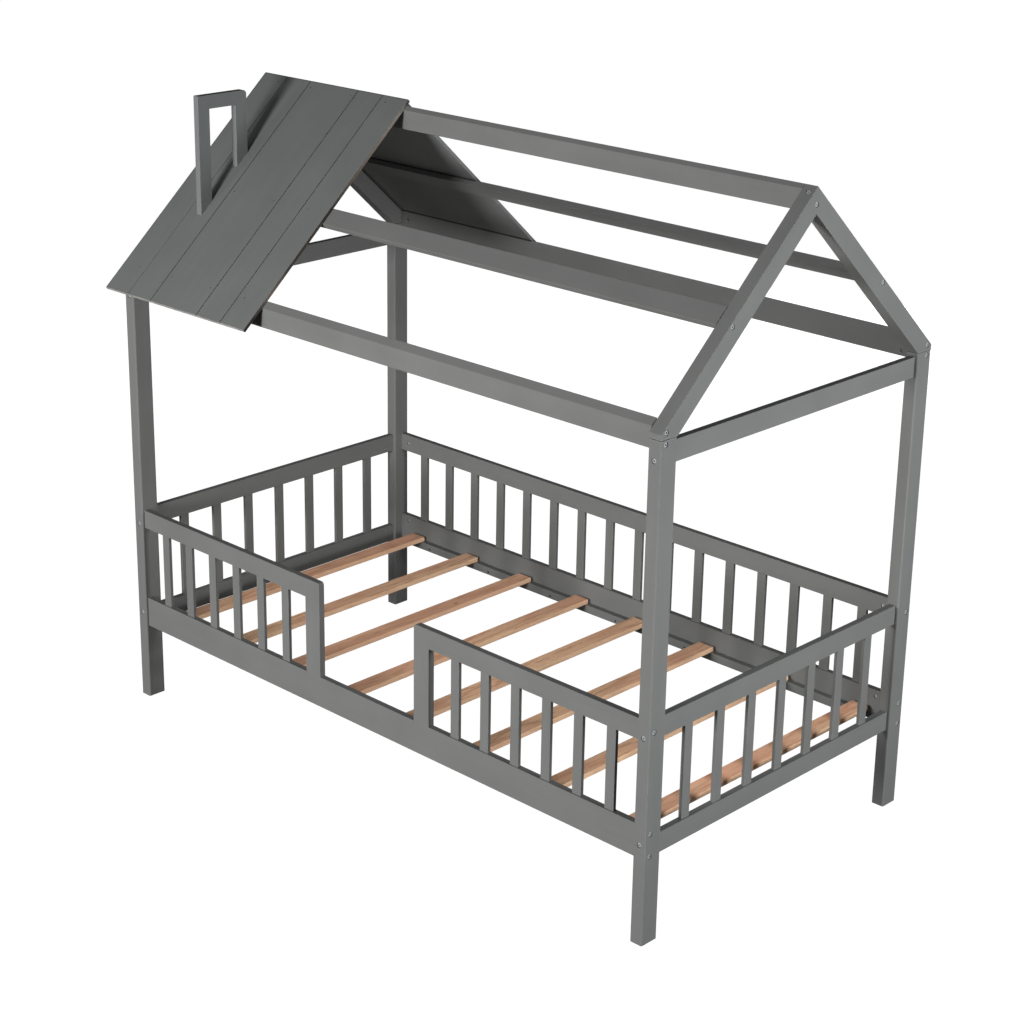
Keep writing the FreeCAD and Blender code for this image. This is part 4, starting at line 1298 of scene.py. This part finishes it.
@dataclass
class Part:
    """What every sub-assembly has: the construction's nodes and the finishes."""

    nodes: Mapping[str, bpy.types.Object]
    finishes: Finishes

    def dress(self, finish: Material, *names: str) -> None:
        """Give nodes of the construction their material.

        Args:
            finish: the material.
            names: the nodes' names.
        """
        for name in names:
            for slot in self.nodes[name].material_slots:
                slot.material = finish
            logger.info("%s: %s", name, finish.name)

    def paint(self, grain: Grain, *names: str) -> None:
        """Paint nodes whose wood runs one way."""
        self.dress(self.finishes.paint[grain], *names)


# --- Sub-assemblies ---

ENDS = ("head", "foot")
UPWARD = Vector((0, 0, 1))


@dataclass
class CornerPosts(Part):
    """The four posts."""

    def build(self) -> None:
        """Paint the posts."""
        self.dress(self.finishes.jointed[Grain.UPRIGHT],
                   *(f"post_{side}_{end}" for side in SLOPES for end in ENDS))


@dataclass
class BedBase(Part):
    """The lower rails, the ledgers and the loose slats."""

    slats: int = 8
    slat_ease: float = 2.6 * MM
    slat_seed: int = 5

    def build(self) -> None:
        """Paint the rails and lay the slats."""
        self.paint(Grain.ALONG_BED, "lower_rail_front", "lower_rail_back", "ledger_front",
                   "ledger_back")
        self.paint(Grain.ACROSS_BED, "lower_rail_head", "lower_rail_foot")
        self.lay_slats()

    def lay_slats(self) -> None:
        """Make the slats as one piece, each with its own stretch of wood."""
        names = [f"slat_{number + 1}" for number in range(self.slats)]
        boxes = [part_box(name) for name in names]
        size = boxes[0][1] - boxes[0][0]
        spots = [Spot((low + high) / 2, UPWARD) for low, high in boxes]
        piece = grow("slats", board_shape("slat"), spots, {
            "Width": size.x, "Depth": size.y, "Height": size.z, "Ease": self.slat_ease},
            self.finishes.pine, self.slat_seed)
        settle(piece, "bare_pine", *names)


@dataclass
class Railings(Part):
    """The upper rails, the guards beside the entry gap and all the spindles."""

    spindle_ease: float = 1.1 * MM
    first_seed: int = 20

    def build(self) -> None:
        """Paint the boards and set the spindles."""
        self.paint(Grain.ALONG_BED, "upper_rail_back", "guard_rail_head", "guard_rail_foot")
        self.paint(Grain.ACROSS_BED, "upper_rail_head", "upper_rail_foot")
        self.paint(Grain.UPRIGHT, "guard_upright_head", "guard_upright_foot")
        shape = board_shape("spindle")
        rows = ("guard_spindles_head", "guard_spindles_foot", "back_spindles", "head_spindles",
                "foot_spindles")
        for number, row in enumerate(rows):
            self.set_row(row, shape, self.first_seed + number)

    def set_row(self, row: str, shape: Shape, seed: int) -> None:
        """Set one row of spindles in place of the construction's plain bars.

        Args:
            row: the node that holds the row.
            shape: the tree for a spindle.
            seed: for the spindles' tones.
        """
        solids = solids_of(self.nodes[row])
        spots = [Spot(Vector((points.min(axis=0) + points.max(axis=0)) / 2), UPWARD)
                 for points in solids]
        width, depth, height = np.ptp(solids[0], axis=0)
        piece = grow(f"{row}_eased", shape, spots, {
            "Width": float(width), "Depth": float(depth), "Height": float(height),
            "Ease": self.spindle_ease}, self.finishes.paint[Grain.UPRIGHT], seed)
        settle(piece, "grey_paint", row)


@dataclass
class HouseFrame(Part):
    """The tie beams, eave beams, rafters, purlins and the ridge beam."""

    def build(self) -> None:
        """Paint every member along its own fibres."""
        self.paint(Grain.ALONG_BED, "ridge_beam")
        self.paint(Grain.ACROSS_BED, "tie_beam_head", "tie_beam_foot")
        for side, slope in SLOPES.items():
            self.dress(self.finishes.members[side], f"eave_beam_{side}", f"purlin_{side}")
            self.dress(self.finishes.jointed[slope], *(f"rafter_{side}_{end}" for end in ENDS))


@dataclass
class BoardedRoof:
    """The two grooved panels and the chimney, and the sizes that their paint follows."""

    panel_ends: Span = (-1.004, -0.394)
    panel_board: float = 9 * MM
    eave_edge: Span = (ROOF_REACH, 1.327)
    overhang: float = 82.04 * MM
    slope_length: float = 0.81

    def plane_height(self) -> float:
        """Height of a panel's underside once its slope is turned flat."""
        reach, height = self.eave_edge
        return height * math.cos(ROOF_ANGLE) + reach * math.sin(ROOF_ANGLE)

    def eave_climb(self) -> float:
        """How far up the turned slope a panel's lower end is."""
        reach, height = self.eave_edge
        return height * math.sin(ROOF_ANGLE) - reach * math.cos(ROOF_ANGLE) - self.overhang

    def build(self, part: Part) -> None:
        """Paint the panels and the chimney.

        Args:
            part: the construction's nodes and the finishes.
        """
        for side, finish in part.finishes.panels.items():
            part.dress(finish, f"roof_panel_{side}")
        part.dress(part.finishes.chimney, "chimney")


@dataclass
class Hardware(Part):
    """Bolts, barrel nuts, dowels and screws.

    A screw's Arm and Half are the reach and the half width of its cross recess.
    """

    bolt: Mapping[str, float] = field(default_factory=lambda: {
        "Head": 6.3 * MM, "Rise": 4 * MM, "Bevel": 0.5 * MM, "Dome": 2 * MM, "Key": 5 * MM,
        "Key Depth": 2.4 * MM, "Shank": 3 * MM})
    nut: Mapping[str, float] = field(default_factory=lambda: {
        "Radius": 5 * MM, "Length": 14 * MM, "Bevel": 0.9 * MM, "Slot": 1.2 * MM,
        "Bore": 3.05 * MM})
    screw: Mapping[str, float] = field(default_factory=lambda: {
        "Head": 3.3 * MM, "Shank": 1.6 * MM, "Rim": 0.15 * MM, "Arm": 1.98 * MM,
        "Half": 0.46 * MM, "Depth": 1.32 * MM})
    apex_length: float = 50 * MM
    roof_frame_height: float = 1.0
    bolt_seed: int = 40
    nut_seed: int = 50
    screw_seed: int = 60

    def build(self) -> None:
        """Set every fastener where the construction has it."""
        self.dress(self.finishes.beech, "dowels")
        self.set_bolts()
        self.set_nuts()
        self.set_screws()

    def set_bolts(self) -> None:
        """Set the frame bolts, in their two lengths, and the apex screws."""
        shape = bolt_shape()
        for node in ("frame_bolts", "apex_screws"):
            groups: dict[float, list[Spot]] = {}
            for points in solids_of(self.nodes[node]):
                length = (self.apex_length if node == "apex_screws"
                          else round(float(np.ptp(points, axis=0).max()), 3))
                groups.setdefault(length, []).append(spot_of(points, by_count=False))
            pieces = [grow(f"{node}_{number}", shape, spots, {**self.bolt, "Reach": length},
                           self.finishes.steel[ZINC], self.bolt_seed + number)
                      for number, (length, spots) in enumerate(sorted(groups.items()))]
            for piece in pieces:
                settle(piece, "zinc_steel", node)

    def set_nuts(self) -> None:
        """Set the barrel nuts with their slots outward; the roof frame's are painted over."""
        spots = [spot_of(points, by_count=True) for points in solids_of(self.nodes["barrel_nuts"])]
        shape = nut_shape()
        groups = (("slotted_nuts", False, self.finishes.steel[ZINC], "zinc_steel"),
                  ("slotted_nuts_painted", True, self.finishes.paint[Grain.ALONG_BED],
                   "grey_paint"))
        for number, (name, high, finish, slot) in enumerate(groups):
            group = [spot for spot in spots if (spot.place.z >= self.roof_frame_height) == high]
            piece = grow(name, shape, group, self.nut, finish, self.nut_seed + number)
            settle(piece, slot, "barrel_nuts")

    def set_screws(self) -> None:
        """Set the wood screws of the roof, the ledgers and the chimney."""
        shape = screw_shape()
        rows = (("roof_screws", 16 * MM, PAINTED), ("ledger_screws", 32 * MM, DARK),
                ("chimney_screws", 30 * MM, DARK))
        for number, (node, reach, steel) in enumerate(rows):
            spots = [spot_of(points, by_count=False) for points in solids_of(self.nodes[node])]
            piece = grow(f"{node}_cross_head", shape, spots, {**self.screw, "Reach": reach},
                         self.finishes.steel[steel], self.screw_seed + number)
            settle(piece, "dark_steel", node)


# --- Studio ---

COOL: Triple = (0.985, 1.0, 0.998)
WARM: Triple = (1.0, 0.995, 0.98)


@dataclass(frozen=True)
class SoftBox:
    """A square lamp that faces the bed: its name, place, side, power and colour.

    It lights the bed but gives no highlights, because faces that are seen almost edge-on would
    mirror it as white blots.
    """

    name: str
    place: Triple
    side: float
    power: float
    colour: Triple = WHITE
    target: Triple = (0.0, 0.0, 0.9)

    def build(self) -> None:
        """Hang the lamp."""
        lamp = bpy.data.lights.new(self.name, "AREA")
        lamp.shape = "SQUARE"
        lamp.size = self.side
        lamp.energy = self.power
        lamp.color = self.colour
        holder = put(self.name, lamp)
        holder.location = self.place
        holder.visible_glossy = False
        aim = Vector(self.target) - Vector(self.place)
        holder.rotation_euler = aim.to_track_quat("-Z", "Y").to_euler()


LAMPS = (
    SoftBox("front_box", (0.0, -5.2, 1.3), 0.9, 226.0, WARM),
    SoftBox("front_high_box", (0.3, -5.2, 2.9), 0.9, 45.0),
    SoftBox("front_left_box", (-1.8, -5.2, 2.2), 0.9, 23.5),
    SoftBox("foot_box", (3.6, 0.0, 1.2), 0.9, 62.5, COOL),
    SoftBox("foot_high_box", (3.6, 0.0, 2.2), 0.9, 22.5, COOL),
    SoftBox("foot_low_box", (4.2, -0.6, 0.5), 0.9, 12.0),
    SoftBox("back_box", (-2.0, 5.0, 0.8), 1.5, 225.0),
    SoftBox("head_box", (-5.4, 0.6, 0.8), 1.5, 170.0),
)


@dataclass(frozen=True)
class View:
    """The camera: where it is, how it is turned and what its lens sees.

    The turn is given as yaw from +Y towards -X, pitch below the horizon and roll, in degrees;
    focal and centre are in pixels of the picture.
    """

    place: Triple = (3.96112, -4.1105, 2.87159)
    yaw: float = 43.90
    pitch: float = 19.02
    roll: float = 0.88
    focal: float = 2179.11
    centre: Span = (506.12, 449.21)
    sensor: float = 36.0
    clip_end: float = 200.0

    def build(self) -> None:
        """Make the camera and give it to the scene."""
        yaw, pitch, roll = (math.radians(turn) for turn in (self.yaw, self.pitch, self.roll))
        ahead = Vector((-math.sin(yaw) * math.cos(pitch), math.cos(yaw) * math.cos(pitch),
                        -math.sin(pitch)))
        right = Vector((math.cos(yaw), math.sin(yaw), 0.0))
        up = right.cross(ahead)
        right, up = (right * math.cos(roll) + up * math.sin(roll),
                     up * math.cos(roll) - right * math.sin(roll))
        data = bpy.data.cameras.new("camera")
        data.sensor_width = self.sensor
        data.lens = self.focal * self.sensor / IMAGE_SIDE
        data.shift_x = (IMAGE_SIDE / 2 - self.centre[0]) / IMAGE_SIDE
        data.shift_y = (self.centre[1] - IMAGE_SIDE / 2) / IMAGE_SIDE
        data.clip_end = self.clip_end
        turn = Matrix((right, up, -ahead)).transposed().to_4x4()
        camera = put("camera", data)
        camera.matrix_world = Matrix.Translation(self.place) @ turn
        bpy.context.scene.camera = camera


@dataclass
class Studio:
    """A plain pale floor, a pale backdrop all round, soft lamps and the camera."""

    floor_side: float = 70.0
    dome_radius: float = 34.0
    dome_rings: int = 12
    dome_sides: int = 32
    dull: Triple = (0.06, 0.06, 0.06)
    ambient: float = 0.062

    def build(self) -> None:
        """Set up everything that is not part of the bed."""
        View().build()
        for lamp in LAMPS:
            lamp.build()
        self.stage("floor", *self.floor_mesh())
        self.stage("backdrop", *self.dome_mesh())
        scene = bpy.context.scene
        scene.world = bpy.data.worlds.new("studio")
        scene.world.use_nodes = True
        room = Graph(scene.world.node_tree)
        light = room.node("ShaderNodeBackground", None,
                          {"Color": _rgba(WHITE), "Strength": self.ambient})
        room.node("ShaderNodeOutputWorld", None, {"Surface": light.outputs[0]})
        scene.view_settings.view_transform = "Standard"
        scene.view_settings.look = "None"

    def floor_mesh(self) -> tuple[list[Triple], list[tuple[int, ...]]]:
        """Work out a level square at the feet of the bed.

        Returns:
            Its points and its face.
        """
        half = self.floor_side / 2
        corners = [(-half, -half, 0), (half, -half, 0), (half, half, 0), (-half, half, 0)]
        return corners, [(0, 1, 2, 3)]

    def dome_mesh(self) -> tuple[list[Triple], list[tuple[int, ...]]]:
        """Work out a large ball round the whole room, facing inward.

        Returns:
            Its points and its faces.
        """
        rings, sides, radius = self.dome_rings, self.dome_sides, self.dome_radius
        slopes = [math.pi * ring / rings for ring in range(1, rings)]
        turns = [2 * math.pi * side / sides for side in range(sides)]
        points = [(radius * math.sin(slope) * math.cos(turn),
                   radius * math.sin(slope) * math.sin(turn), radius * math.cos(slope))
                  for slope in slopes for turn in turns]
        faces = [(ring * sides + side, ring * sides + (side + 1) % sides,
                  (ring + 1) * sides + (side + 1) % sides, (ring + 1) * sides + side)
                 for ring in range(rings - 2) for side in range(sides)]
        return points, [*faces, tuple(range(sides)),
                        tuple(range((rings - 2) * sides, (rings - 1) * sides))]

    def stage(self, name: str, points: Sequence[Triple],
              faces: Sequence[tuple[int, ...]]) -> None:
        """Put up a pale surface that is seen by the camera and lights nothing.

        Args:
            name: the surface's name.
            points: its corners.
            faces: the corners of each face, by number.
        """
        mesh = bpy.data.meshes.new(name)
        mesh.from_pydata(points, [], faces)
        mesh.materials.append(Paper(f"{name}_pale").surface({
            "Base Color": _rgba(self.dull), "Roughness": 1.0, "Specular IOR Level": 0.0,
            "Emission Color": _rgba(WHITE), "Emission Strength": 1.0}))
        surface = put(name, mesh)
        surface.visible_diffuse = False
        surface.visible_glossy = False
        surface.visible_shadow = False


def main() -> None:
    """Build the bed and its studio in order."""
    logging.basicConfig(level=logging.INFO, format="%(name)s %(message)s")
    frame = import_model()
    roof = BoardedRoof()
    finishes = Finishes(roof)
    nodes = frame["nodes"]
    for kind in (CornerPosts, BedBase, Railings, HouseFrame, Hardware):
        kind(nodes, finishes).build()
    roof.build(Part(nodes, finishes))
    Studio().build()


if __name__ == "__main__":
    main()
